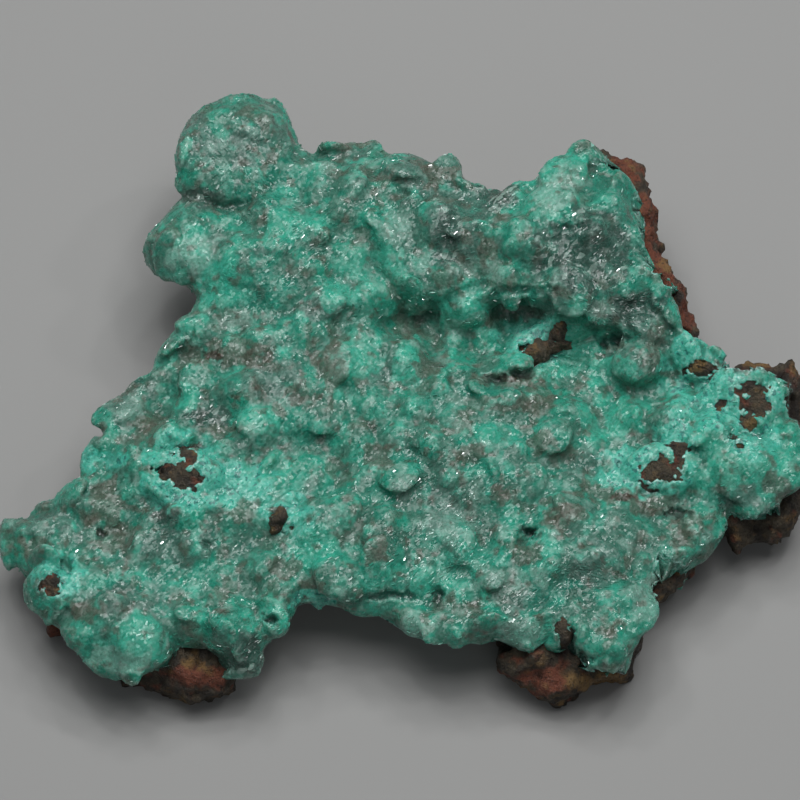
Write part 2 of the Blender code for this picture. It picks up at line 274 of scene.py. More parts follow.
# %% Geometry node helpers
def stored(tree, name, kind="FLOAT"):
    """A mesh attribute's value in a geometry tree."""
    return put(tree, "GeometryNodeInputNamedAttribute", {"data_type": kind}, {"Name": name}).outputs[0]


def stray(tree, low, high, seed):
    """Random number for each point, or a random vector where the limits are vectors."""
    vector = isinstance(low, tuple)
    first = 0 if vector else 2
    node = put(tree, "FunctionNodeRandomValue", {"data_type": "FLOAT_VECTOR" if vector else "FLOAT"},
               {first: low, first + 1: high, "Seed": seed})
    return node.outputs[0 if vector else 1]


def scaled_shape(tree, across, deep, tall, size):
    """Scale of a copy: three parts and a size that they share."""
    parts = put(tree, "ShaderNodeCombineXYZ", None, {"X": across, "Y": deep, "Z": tall}).outputs[0]
    return vectors(tree, "SCALE", parts, size)


def between(tree, share, low, high):
    """Value that a share picks between two limits."""
    return put(tree, "ShaderNodeMapRange", None, {"Value": share, "To Min": low, "To Max": high}).outputs[0]


def spun_copies(tree, points, shape, axis, spin, scale):
    """Real copies of a shape on points, stood along an axis and spun round it between two angles."""
    turned = put(tree, "FunctionNodeAlignRotationToVector", {"axis": "Z"}, {"Vector": axis})
    angle = put(tree, "ShaderNodeCombineXYZ", None, {"Z": stray(tree, *spin, 8)})
    spun = put(tree, "FunctionNodeEulerToRotation", None, {0: angle.outputs[0]})
    turn = put(tree, "FunctionNodeRotateRotation", {"rotation_space": "LOCAL"},
               {0: turned.outputs[0], 1: spun.outputs[0]})
    copies = put(tree, "GeometryNodeInstanceOnPoints", None,
                 {"Points": points, "Instance": shape, "Rotation": turn.outputs[0], "Scale": scale})
    return put(tree, "GeometryNodeRealizeInstances", None, {0: copies.outputs[0]}).outputs[0]


def new_tree(name, kind, inputs, outputs):
    """Node group with named sockets. Returns the tree, what it is given and what it gives back."""
    tree = bpy.data.node_groups.new(name, kind)
    for direction, sockets in (("INPUT", inputs), ("OUTPUT", outputs)):
        for label, socket_kind, default in sockets:
            socket = tree.interface.new_socket(label, in_out=direction, socket_type=socket_kind)
            if default is not None:
                socket.default_value = default
    return tree, tree.nodes.new("NodeGroupInput").outputs, tree.nodes.new("NodeGroupOutput").inputs


def new_geometry_tree(name, values):
    """Geometry tree with named inputs and their defaults. A default of None marks a material."""
    kinds = {float: "NodeSocketFloat", int: "NodeSocketInt", type(None): "NodeSocketMaterial"}
    sockets = [("Geometry", "NodeSocketGeometry", None)]
    sockets += [(label, kinds[type(value)], value) for label, value in values.items()]
    return new_tree(name, "GeometryNodeTree", sockets, sockets[:1])


def add_nodes_modifier(thing, tree, values):
    """Geometry-nodes modifier with its inputs set by the sockets' identifiers."""
    modifier = thing.modifiers.new(tree.name, "NODES")
    modifier.node_group = tree
    for item in tree.interface.items_tree:
        if item.item_type == "SOCKET" and item.in_out == "INPUT" and item.name in values:
            modifier[item.identifier] = values[item.name]
    return modifier


# %% [markdown]
# ## Rough relief
# Both the rock and the crust need relief finer than the solids carry. One tree pushes every
# point along its normal by two sizes of noise. On the rock the noise is coarse and deep, like
# earthy limonite, and on the crust it is fine and shallow.

# %% Relief tree
def make_relief_tree():
    """Pushes points along their normals by coarse and fine noise."""
    tree, given, result = new_geometry_tree("rough relief", {
        "Coarse size": 2.0 * MM, "Coarse depth": 0.3 * MM, "Fine size": 0.6 * MM, "Fine depth": 0.1 * MM})
    place = put(tree, "GeometryNodeInputPosition").outputs[0]
    pushes = []
    for size, depth, detail in (("Coarse size", "Coarse depth", 2.0), ("Fine size", "Fine depth", 1.0)):
        scale = maths(tree, "DIVIDE", 1.0, given[size])
        lumps = put(tree, "ShaderNodeTexNoise", None,
                    {"Vector": place, "Scale": scale, "Detail": detail, "Roughness": 0.55}).outputs[0]
        pushes.append(maths(tree, "MULTIPLY", maths(tree, "SUBTRACT", lumps, 0.5), given[depth]))
    normal = put(tree, "GeometryNodeInputNormal").outputs[0]
    offset = vectors(tree, "SCALE", normal, maths(tree, "ADD", *pushes))
    moved = put(tree, "GeometryNodeSetPosition", None, {"Geometry": given["Geometry"], "Offset": offset})
    tree.links.new(moved.outputs[0], result[0])
    return tree


relief_tree = make_relief_tree()
print("relief tree with", len(relief_tree.nodes), "nodes")

# %% [markdown]
# ## The limonite plate
# Limonite breaks into small lumps with earthy pits between them. The solid from the frame has
# the plate's main shape. A fine voxel remesh gives it enough points, and the relief tree does
# the rest. Some of its edges are drawn a little to where they show on the real stone.

# %% Rock mesh
ROCK_VOXEL = 0.36 * MM
ROCK_RELIEF = {"Coarse size": 2.0 * MM, "Coarse depth": 1.5 * MM,
               "Fine size": 0.7 * MM, "Fine depth": 1.1 * MM}
ROCK_NUDGES = [
    (-20, -28, 5, 0, -1.3), (16, -28.6, 4, 0, -0.9), (11, -26.4, 3, -1.6, -0.3),
    (-35.4, -23, 3, -0.3, -0.3), (25.4, 21, 3, -0.5, 0), (24.8, 18, 2.6, 0.5, 0),
    (32.6, 5, 2.4, 0.6, 0.8), (37, -12, 5, 0.4, -1.5), (31.5, -13, 5, 0.6, -1.6),
    (27.4, -17.6, 4, 1.7, -0.4), (22, -27.4, 2.4, 0.8, -0.6), (22, 25.6, 3, 0, -0.4),
]
rock = welded_copy("limonite", rock_cad)
remesh(rock, ROCK_VOXEL, 1)
nudge(rock.data, ROCK_NUDGES)
add_nodes_modifier(rock, relief_tree, ROCK_RELIEF)
bake_modifiers(rock)
rock_points = read_rows(rock.data, "co")
rock_points[:, 2] = np.maximum(rock_points[:, 2], 0.0)
write_points(rock.data, rock_points)
print("rock", len(rock.data.polygons), "faces")

# %% [markdown]
# ## The crust grows on the rock
# The two solids keep a gap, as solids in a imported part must. On the real stone the crust is
# grown onto the rock, so every crust point near the rock is drawn down until it touches.

# %% Crust base
HUG_REACH = 1.7 * MM
HUG_OVERLAP = 0.25 * MM
HUG_STRENGTH = 1.6
CRUST_BASE_VOXEL = 0.45 * MM
crust = welded_copy("aragonite", crust_cad)
remesh(crust, CRUST_BASE_VOXEL, 6)
rock_tree = tree_of(rock.data)


def hug_rock(mesh):
    """Draws points near the rock onto it."""
    for vertex in mesh.vertices:
        near, _, _, gap = rock_tree.find_nearest(vertex.co, HUG_REACH)
        if near is not None:
            toward = (near - vertex.co).normalized()
            pull = min(1.0, HUG_STRENGTH * (1 - gap / HUG_REACH) ** 0.5)
            vertex.co = vertex.co + toward * (gap + HUG_OVERLAP) * pull
    mesh.update()


INSET = 0.36 * MM
CRUST_NUDGES = [
    (-6, 27.6, 3, 0, -1.7), (17.8, 27, 4, -0.3, -1.3), (12, 23.6, 3, 0.6, -0.9),
    (-25, 7, 3, 0.8, -0.5), (29, -14, 5, 0.5, -0.9), (35, -11, 5, 0.2, -0.6),
    (-36, -10, 4, 0.6, -1.2), (-31.6, -2.6, 2.6, 0.8, -0.4), (-28, 4, 2, 0.9, -0.6),
    (-34, -26, 4, 0.5, 0.7), (-8.4, -21.8, 2.4, -0.5, 0.5), (1, -25.4, 3, 0, 0.5),
    (-5.4, -22.6, 2.4, 0, 0.3), (25.4, -25, 3.4, -0.6, 0.6), (8, 22.6, 3, -0.3, -0.7),
    (-26, -29, 3, 0.4, 0.8), (-25.6, 15, 4, -0.4, -0.4), (-24, 20, 3, 1.5, -0.8),
    (-22, 10.5, 3.4, 1, 0.6), (-26.4, 3.4, 2.2, 1, -0.6), (-30.8, -2, 2.6, 0.6, -0.3),
    (-32.4, -5.6, 2, -0.6, 0.2), (-38.6, -10.8, 2.4, 0.2, -0.6), (-39, -17.6, 2.4, 0.7, 0.3),
    (-10.5, -23.5, 3, -0.6, 0.6), (-13.6, -26, 2.4, -0.5, 0.3), (9.4, -24.6, 2.4, 0, 0.6),
    (31, 6, 2, 0.2, 0.5), (4.6, 24.8, 2.4, 0, -0.8), (7.4, 22.4, 1.6, 0, 0.5),
    (17.2, 25.6, 2, 0, 0.5), (19.6, 25.6, 1.4, -0.2, -0.9),
]
KNOBS = [(-16.3, 25.4, 8.2, 7.4), (-21.4, 15.2, 5.6, 5.4)]
KNOB_SWELL = 0.5 * MM
KNOB_ROUNDS = 24
KNOB_SOFTNESS = 0.9


def inset(mesh):
    """Draws the surface in, which leaves room for the lobes inside the solid's outline."""
    write_points(mesh, read_rows(mesh, "co") - read_rows(mesh, "normal") * INSET)


def knob_share(points):
    """1 on the two knobs, fading to 0 at their necks."""
    return patch_weights(seen_places(points), KNOBS, 1.05, 0.8)


def round_knobs(mesh):
    """Rounds the corners of the knobs off."""
    points = read_rows(mesh, "co")
    edges = read_edges(mesh)
    share = knob_share(points)[:, None]
    for _ in range(KNOB_ROUNDS):
        points = points + KNOB_SOFTNESS * share * (neighbour_mean(points, edges, len(points)) - points)
    write_points(mesh, points)
    write_points(mesh, points + read_rows(mesh, "normal") * share * KNOB_SWELL)


inset(crust.data)
nudge(crust.data, CRUST_NUDGES)
round_knobs(crust.data)
hug_rock(crust.data)
print("crust base", len(crust.data.polygons), "faces")

# %% [markdown]
# ## Domes that stand out
# A few rounded forms are large enough to be recognised, so they are listed one by one. Each line
# gives mm right and mm up in the view, half width, half depth, how far it stands proud and how
# far it is turned. One number scales how proud they all are. A ray from the eye finds the spot
# on the crust. Plugs close the solid's openings with the same kind of shape.

# %% Named domes
DOMES = [
    (-16.4, 24.6, 5.8, 5.2, 1, 0), (-13.4, 27.6, 1.9, 1.2, 0.8, 0), (-22.6, 14.6, 2.6, 2.2, 0.9, 0),
    (17.6, 24.6, 1.6, 1.5, 1.6, 0), (-12, -22.7, 1.5, 1.8, 1.2, 0), (29, -12.4, 2, 1.6, 0.9, 0),
    (6.2, 9, 2.5, 2.3, 1.5, 10), (23.4, 4.2, 2.4, 2.5, 1.2, 0), (0.8, 3.2, 1.9, 2.3, 1, 0),
    (5.2, 6, 1.4, 1.4, 0.9, 0), (-3.8, 3.9, 3, 2.8, 0.8, 20), (4, 1.2, 1.1, 1.4, 0.8, 0),
    (-10.6, -7.4, 3.4, 4.4, 0.8, 40), (8, -7.4, 1.6, 2.2, 0.8, 0), (-15.4, -26.2, 1.7, 2.3, 1.2, 0),
    (1.2, -22.6, 1.9, 1.6, 1.1, 0), (12.6, -22.4, 1.7, 1.8, 1.1, 0), (14.8, -24.4, 1.6, 1.6, 1, 0),
    (20.6, -22.8, 3.8, 3.2, 1.2, 0), (34.2, -6.6, 3.6, 3, 1, 0), (16.4, 22.4, 2, 2.4, 1.2, -20),
    (-21, 14.6, 2.8, 2.8, 1, 0), (-12.4, 26, 1.7, 1.2, 1, 0), (-16, 13.4, 2.6, 2.6, 0.9, 0),
    (-11, 17.4, 3.2, 2.8, 1, 0), (2.6, -4, 2.2, 1.4, 0.8, 0), (14.6, 18.4, 3, 3.4, 1.2, 30),
    (-8, -12, 2.6, 3.4, 0.8, 0), (19, 0.4, 3.2, 2.6, 0.9, 10), (-25.6, -24.4, 2.6, 2.8, 1, 0),
    (-30, -17.6, 2.2, 2.6, 0.8, 0), (5.4, -13.2, 2, 2.6, 0.8, 30), (-5.6, -17.6, 2.4, 2.8, 0.8, 0),
]
DOME_HEIGHT = 0.8
PLUGS = [
    (-21.9, -7.9, 4.4, 2.6), (-11.8, -12, 2.6, 1.8), (26.2, -7.2, 3.8, 2.9), (34.6, 0, 4.2, 3.4),
    (30, 3.2, 2.7, 1.4), (12.7, 5.2, 1.7, 1.6), (15.7, 6.1, 3.1, 2.2), (-34.8, -18.6, 1.9, 1.9),
    (16.4, -22.9, 1.2, 2),
]
PLUG_THICKNESS = 1.3 * MM
PLUG_DEPTH = 0.8 * PLUG_THICKNESS
WINDOW_STEPS = 20
WINDOW_PERCENTILE = 35
crust_cad_tree = tree_of(crust_cad.data)


def window_distance(right, up, wide, tall):
    """How far from the eye the solid's crust is round an opening."""
    spans = []
    for step in range(WINDOW_STEPS):
        turn = math.tau * step / WINDOW_STEPS
        ray = seen_ray(right + wide * math.cos(turn), up + tall * math.sin(turn))
        span = crust_cad_tree.ray_cast(eye, ray)[3]
        if span is not None:
            spans.append(span)
    return float(np.percentile(spans, WINDOW_PERCENTILE))


def add_plug(shell, plug):
    """Flattened sphere that closes one opening of the solid, so that it can be torn open again."""
    right, up, wide, tall = plug
    spot = eye + seen_ray(right, up) * (window_distance(*plug) + PLUG_DEPTH)
    facing = Matrix((Vector((1, 0, 0)), view_up, view_back)).transposed().to_4x4()
    size = Matrix.Diagonal((wide * MM, tall * MM, PLUG_THICKNESS, 1.0))
    bmesh.ops.create_icosphere(shell, subdivisions=4, radius=1.0,
                               matrix=Matrix.Translation(spot) @ facing @ size)


def add_domes(thing):
    """Flattened spheres joined to a mesh where rays from the eye meet it."""
    target = tree_of(thing.data)
    shell = bmesh.new()
    shell.from_mesh(thing.data)
    for plug in PLUGS:
        add_plug(shell, plug)
    for right, up, wide, deep, height, turned in DOMES:
        proud = height * DOME_HEIGHT
        spot, normal, _, _ = target.ray_cast(eye, seen_ray(right, up))
        if spot is None:
            continue
        up_axis = (normal + Vector((0, 0, 1))).normalized().to_track_quat("Z", "Y").to_matrix().to_4x4()
        turn = Matrix.Rotation(math.radians(turned), 4, "Z")
        size = Matrix.Diagonal((wide * MM, deep * MM, 2 * proud * MM, 1.0))
        place = Matrix.Translation(spot - normal * proud * MM) @ up_axis @ turn @ size
        bmesh.ops.create_icosphere(shell, subdivisions=4, radius=1.0, matrix=place)
    shell.to_mesh(thing.data)
    shell.free()


add_domes(crust)
print("crust with domes and plugs", len(crust.data.polygons), "faces")

# %% [markdown]
# ## Lobes
# Seen close, the crust is made of overlapping rounded lobes, like petals or scales, 2 to 5 mm
# across. Each is a flattened sphere that leans a little, so one edge stands proud of the next.
# They follow the surface and repeat by the thousand, which is work for Geometry Nodes: points
# are spread evenly, each gets a sphere, and a voxel remesh fuses them with the base. An
# attribute named calm sinks them deeper where the real crust is smoother. Its patches give mm
# right and up, half width, half height and strength.

# %% Lobe tree
LOWEST_SLOPE = -0.35
LOBE_LEANS = ((-1.0, -0.6, -0.5), (1.0, 1.2, 0.5))
LOBE_SPIN = (-0.3, 1.9)


def make_lobe_tree():
    """Flattened, leaning spheres spread over a surface and joined to it."""
    tree, given, result = new_geometry_tree("petal lobes", {
        "Spacing": 1.3 * MM, "Smallest": 0.9 * MM, "Largest": 2.2 * MM, "Flatness": 0.45, "Sink": 0.4 * MM,
        "Lean": 0.3, "Calm sink": 0.3 * MM, "Seed": 3})
    normal = put(tree, "GeometryNodeInputNormal").outputs[0]
    slope = put(tree, "ShaderNodeSeparateXYZ", None, {0: normal}).outputs["Z"]
    outside = put(tree, "FunctionNodeCompare", {"data_type": "FLOAT", "operation": "GREATER_THAN"},
                  {0: slope, 1: LOWEST_SLOPE})
    spread = put(tree, "GeometryNodeDistributePointsOnFaces", {"distribute_method": "POISSON"},
                 {"Mesh": given["Geometry"], "Selection": outside.outputs[0], "Density Max": 2e6,
                  "Distance Min": given["Spacing"], "Seed": given["Seed"]}).outputs
    calm = stored(tree, "calm")
    depth = maths(tree, "MULTIPLY_ADD", calm, given["Calm sink"], given["Sink"])
    sink = vectors(tree, "SCALE", spread["Normal"], maths(tree, "MULTIPLY", depth, -1.0))
    sunk = put(tree, "GeometryNodeSetPosition", None, {"Geometry": spread["Points"], "Offset": sink})
    tilt = maths(tree, "MULTIPLY", maths(tree, "MULTIPLY_ADD", calm, -0.75, 1.0), given["Lean"])
    lean = vectors(tree, "SCALE", stray(tree, *LOBE_LEANS, 5), tilt)
    axis = vectors(tree, "ADD", spread["Normal"], lean)
    share = maths(tree, "POWER", stray(tree, 0.0, 1.0, 13), 1.6)
    radius = between(tree, share, given["Smallest"], given["Largest"])
    scale = scaled_shape(tree, 1.1, stray(tree, 0.55, 0.95, 21), given["Flatness"], radius)
    ball = put(tree, "GeometryNodeMeshIcoSphere", None, {"Radius": 1.0, "Subdivisions": 2})
    low_ball = put(tree, "GeometryNodeTransform", None,
                   {"Geometry": ball.outputs[0], "Translation": (0.0, 0.0, -0.4)})
    lobes = spun_copies(tree, sunk.outputs[0], low_ball.outputs[0], axis, LOBE_SPIN, scale)
    joined = put(tree, "GeometryNodeJoinGeometry")
    tree.links.new(given["Geometry"], joined.inputs[0])
    tree.links.new(lobes, joined.inputs[0])
    tree.links.new(joined.outputs[0], result[0])
    return tree


CRUST_VOXEL = 0.285 * MM
CALM = [
    (-12, -4, 16, 9, 1), (-2, -12, 16, 10, 0.85), (-24, -12, 16, 9, 0.95),
    (10, -8, 16, 11, 0.8), (30, -3, 11, 9, 0.9), (14, 20, 6, 5, 0.9),
    (-28, -22, 10, 7, 0.8), (0, 4, 13, 6, 0.75), (22, -21, 6, 6, 0.8),
    (-8, 16, 9, 6, 0.6), (20, 14, 6, 7, 0.6), (4, -20, 14, 5, 0.7),
]


def paint_calm(mesh):
    """Writes where the lobes lie flatter."""
    points, normals, shown = look_over(mesh)
    calm = patch_weights(shown, CALM, 1.2, 0.5) * smoothstep(0.0, 0.6, normals[:, 2])
    write_attribute(mesh, "calm", np.maximum(calm, 0.85 * knob_share(points)))


paint_calm(crust.data)
lobe_tree = make_lobe_tree()
add_nodes_modifier(crust, lobe_tree, {"Spacing": 1.5 * MM, "Smallest": 1.0 * MM, "Largest": 2.7 * MM,
                                      "Flatness": 0.28, "Sink": 0.06 * MM, "Calm sink": 0.24 * MM,
                                      "Lean": 0.17, "Seed": 3})
remesh(crust, CRUST_VOXEL, 5)
print("crust with lobes", len(crust.data.polygons), "faces")

# %% Fine relief on the crust
add_nodes_modifier(crust, relief_tree, {"Coarse size": 1.3 * MM, "Coarse depth": 0.18 * MM,
                                        "Fine size": 0.4 * MM, "Fine depth": 0.11 * MM})
bake_modifiers(crust)

# %% [markdown]
# ## Torn windows
# Where the crust is broken through, the brown rock lies nearly flush with the crust round it,
# and the edge is ragged. So the rock is lifted there, point by point, to just under the crust
# as the eye sees it. Then the crust's own points are dropped behind the rock. Noise decides
# which points go, which tears the edge. A line gives mm right and up, half width and height.

# %% Torn windows
TEARS = [
    (-21.8, -7.6, 1.3, 1.65), (-23.6, -7.2, 1.1, 0.6), (-20.3, -8, 1, 0.5), (-21.5, -5.2, 1, 0.6),
    (-21, -6, 0.6, 0.8), (-12.4, -11.9, 0.5, 0.4), (-12, -11, 0.35, 0.3), (-10.9, -12.8, 0.4, 0.3),
    (-34.9, -18.5, 0.9, 1.1), (26.1, -7, 1.9, 1.4), (27.7, -5.1, 1, 0.7), (27.9, -6.2, 0.7, 0.8),
    (35.3, 1, 1.4, 1), (35.3, -0.7, 1.6, 1.1), (39.4, -0.3, 0.7, 1.5), (32.1, -0.5, 0.55, 0.6),
    (35, -2.3, 0.7, 0.8),
    (33.2, -3.7, 0.45, 0.3), (34, -4.6, 0.45, 0.3), (30, 3.2, 1.5, 0.8), (12.6, 5.1, 0.6, 0.5),
    (16.2, -22.8, 0.7, 1.1),
]
TEAR_DEPTH = 0.15 * MM
FLUSH_DROP = 0.12 * MM
WINDOW_ROUGHNESS = 0.3 * MM
MOST_LIFT = 5 * MM
TEAR_REACH = 3 * MM
TEAR_WOBBLE = 0.8


def raise_windows(mesh, crust_tree):
    """Lifts the rock in each window to just under the crust."""
    points, normals, shown = look_over(mesh)
    facing = normals[:, 2] > 0.0
    share = patch_weights(shown, TEARS, 2.2, 1.4)
    near = np.nonzero(facing & (share > 0))[0]
    rough = WINDOW_ROUGHNESS * np.abs(noise_field(points[near], 0.9, 2))
    for index, extra in zip(near, rough):
        spot = Vector(points[index])
        ray = (spot - eye).normalized()
        span = crust_tree.ray_cast(eye, ray)[3]
        if span is not None:
            lift = (spot - eye).length - span - FLUSH_DROP - extra
            points[index] = spot - ray * min(max(lift * share[index], 0.0), MOST_LIFT)
    write_points(mesh, points)


def tear_windows(mesh):
    """Drops the crust behind the rock inside the torn windows and returns their mask."""
    points, normals, shown = look_over(mesh)
    torn = np.zeros(len(points))
    for tear in TEARS:
        reach = reach_of(shown, *tear)
        near = np.nonzero((reach < 2.0) & (normals[:, 2] > -0.3))[0]
        wobble = noise_field(points[near], 0.9, 3)
        for index in near[reach[near] + TEAR_WOBBLE * wobble < 1.0]:
            spot = Vector(points[index])
            ray = (spot - eye).normalized()
            hit, _, _, span = rock_tree.ray_cast(eye, ray)
            if hit is not None and -TEAR_DEPTH < span - (spot - eye).length < TEAR_REACH:
                points[index] = eye + ray * (span + TEAR_DEPTH)
                torn[index] = 1.0
    write_points(mesh, points)
    return torn


raise_windows(rock.data, tree_of(crust.data))
rock_tree = tree_of(rock.data)
torn = tear_windows(crust.data)
print("torn points", int(torn.sum()))

# %% [markdown]
# ## Bare edges
# Along the upper right rim, round the right arm and at the feet the rock has no crust at all.
# Each bare place is an outline in the view, in mm. Every crust point in it is drawn to just
# inside the nearest rock, so the rock's own edge shows.

# %% Bare edges
BARE_EDGES = [
    [(19.5, 24.6), (19.7, 24), (21.9, 23.5), (23.2, 22.9), (23.5, 21.7), (23.7, 20.4), (23.4, 19),
     (24.2, 17.3), (24.2, 14.2), (25.3, 13.1), (26.6, 11.7), (27.6, 11.1), (28.4, 9.6), (28.8, 7.7),
     (29.1, 6.7), (34, 6), (34, 26), (19, 26.6)],
    [(32.6, 3.9), (33.1, 3.3), (34.8, 3.1), (35.6, 3.2), (37.5, 2.7), (38.1, 2), (39, 1.35),
     (42, 1.35), (42, 7), (32.6, 7)],
    [(32.8, -11.6), (34.2, -11.9), (35.9, -11.6), (37.3, -11.2), (38.7, -9.9), (42, -9.1),
     (42, -18), (32.8, -18)],
    [(-25.6, -29.2), (-24.6, -28), (-23.5, -26.8), (-21.8, -25.6), (-19.7, -25.8), (-18.5, -26.9),
     (-16, -27.8), (-15.6, -28.4), (-15.6, -33), (-27, -33)],
    [(8.5, -24.9), (10, -24.9), (12.5, -25.1), (13.6, -25.8), (15.4, -26.7), (17.9, -27), (19.6, -27.4),
     (22.3, -27.4), (24, -27.6), (24, -33), (8, -33)],
    [(25.8, -15.2), (26.6, -15.6), (28.5, -16.6), (27.6, -21), (26, -20.6), (25.2, -19),
     (25.7, -17.5)],
    [(-40, -20.6), (-36.4, -21.6), (-35.2, -23), (-33.4, -24.4), (-33.6, -27), (-40, -27)],
]
EDGE_WOBBLE = 0.55
BARE_DEPTH = 0.4 * MM


def inside_outline(shown, corners):
    """True where shown places lie inside a closed outline."""
    inside = np.zeros(len(shown), bool)
    for (right, up), (last_right, last_up) in zip(corners, corners[-1:] + corners[:-1]):
        if up == last_up:
            continue
        crosses = (up > shown[:, 1]) != (last_up > shown[:, 1])
        limit = (last_right - right) * (shown[:, 1] - up) / (last_up - up) + right
        inside ^= crosses & (shown[:, 0] < limit)
    return inside


def bare_edges(mesh, torn):
    """Draws the crust into the rock along the bare edges and adds them to the torn mask."""
    points, _, shown = look_over(mesh)
    for corners in BARE_EDGES:
        span = np.array(corners)
        low = span.min(axis=0) - 1.0
        high = span.max(axis=0) + 1.0
        near = np.nonzero(((shown > low) & (shown < high)).all(axis=1))[0]
        places = points[near]
        wobble = np.stack([noise_field(places, 0.9, 2), noise_field(places, 0.9, 2, 40.0)], axis=1)
        chosen = near[inside_outline(shown[near] + EDGE_WOBBLE * wobble, corners)]
        for index in chosen:
            spot, normal, _, _ = rock_tree.find_nearest(Vector(points[index]))
            points[index] = spot - normal * BARE_DEPTH
            torn[index] = 1.0
    write_points(mesh, points)


bare_edges(crust.data, torn)
write_attribute(crust.data, "torn", torn)
print("torn and bare points", int(torn.sum()))

# %% [markdown]
# ## Pits
# A few dark pits and clefts open between the lobes. They are pressed in along the line of
# sight, and how dark each one is painted becomes an attribute for the colour: painted shade.
# Two of them, at 21.6 right 6 up and 12.4 right 11 up, paint the shadow under the ledge. A
# line gives mm right, mm up, half width, half height, depth in mm and darkness.

# %% Pits
PITS = [
    (13, -13.3, 0.8, 0.6, 0.7, 0.9), (3.7, -19.6, 0.5, 0.7, 0.7, 0.8),
    (17, -24.6, 0.7, 1.4, 1.2, 1),
    # Painted shadow: the pit at 21.6 right, 6 up darkens the band under the ledge.
    (-0.8, -19.6, 2.6, 0.4, 0.5, 0.35), (18.2, -26.2, 1, 0.8, 1, 0.9), (21.6, 6, 1.7, 0.6, 0.9, 0.6),
    (9.4, 2, 1.2, 0.6, 0.8, 0.7), (12, 2.6, 1, 0.4, 0.6, 0.5), (-13.2, -22, 0.9, 0.5, 0.9, 0.8),
    # Painted shadow: the pit at 12.4 right, 11 up darkens the band under the ledge.
    (-30, -13.5, 0.4, 0.5, 0.6, 0.6), (28, -11.4, 1.2, 0.5, 0.8, 0.6), (12.4, 11, 3, 0.5, 0.4, 0.25),
    (24.8, -9.2, 1.2, 0.35, 0.4, 0.4), (-19.4, -14.3, 0.5, 0.4, 0.5, 0.5), (17.6, 17.4, 1.4, 0.4, 0.4, 0.4),
    (-16, 19.4, 3, 0.6, 0.5, 0.2), (-26, 1.8, 0.8, 0.4, 0.4, 0.5),
]


def press_pits(mesh):
    """Pushes the pits away from the eye and stores the painted shade of each point in one attribute."""
    points, normals, shown = look_over(mesh)
    facing = normals @ np.array(view_back) > 0.0
    wobble = 0.9 * noise_field(points, 0.9, 3, 5.0)
    pit_shade_weights = np.zeros(len(points))
    push = np.zeros(len(points))
    for right, up, wide, tall, depth, dark in PITS:
        reach = reach_of(shown, right, up, wide, tall) + wobble
        share = smoothstep(1.5, 0.4, reach) * facing
        pit_shade_weights = np.maximum(pit_shade_weights, share * dark)
        push = np.maximum(push, share * depth * MM)
    points -= np.array(view_back) * push[:, None]
    write_points(mesh, points)
    write_attribute(mesh, "painted_pit_shade", pit_shade_weights)


press_pits(crust.data)

# %% [markdown]
# ## Thin what is hidden
# Half of the crust faces the rock and is never seen. A Decimate modifier with a vertex group
# takes most of its triangles away there and leaves the top as it is.

# %% Thin hidden faces
CRUST_LIMIT = 160000
ROCK_LIMIT = 120000
HIDDEN_REACH = 1.2 * MM
GROUP_LEVELS = 10
GROUP_FACTOR = 4.0


def thin_hidden(thing, other_tree, limit, kept=None):
    """Decimates to a limit, mostly where another surface is near. Kept points stay as they are."""
    mesh = thing.data
    _, normals, shown = look_over(mesh)
    weights = np.zeros(len(mesh.vertices))
    for index, vertex in enumerate(mesh.vertices):
        near = other_tree.find_nearest(vertex.co, HIDDEN_REACH)
        if near[0] is not None:
            weights[index] = 1 - near[3] / HIDDEN_REACH
    weights = np.maximum(weights, smoothstep(-0.3, -0.8, normals[:, 2]))
    for tear in TEARS:
        weights[(reach_of(shown, *tear) < 2.6) & (normals[:, 2] > -0.5)] = 0
    if kept is not None:
        weights[kept] = 0
    group = thing.vertex_groups.new(name="hidden")
    for level in range(1, GROUP_LEVELS + 1):
        above = weights > (level - 1) / GROUP_LEVELS
        chosen = np.nonzero(above & (weights <= level / GROUP_LEVELS))[0]
        group.add(chosen.tolist(), level / GROUP_LEVELS, "REPLACE")
    mesh.calc_loop_triangles()
    triangles = len(mesh.loop_triangles)
    if triangles > limit:
        fewer = thing.modifiers.new("fewer", "DECIMATE")
        fewer.ratio = limit / triangles
        fewer.vertex_group = "hidden"
        fewer.vertex_group_factor = GROUP_FACTOR
        bake_modifiers(thing)
    thing.vertex_groups.clear()
    thing.data.calc_loop_triangles()
    return triangles, len(thing.data.loop_triangles)


print("crust triangles", thin_hidden(crust, rock_tree, CRUST_LIMIT, torn > 0))
print("rock triangles", thin_hidden(rock, tree_of(crust.data), ROCK_LIMIT))
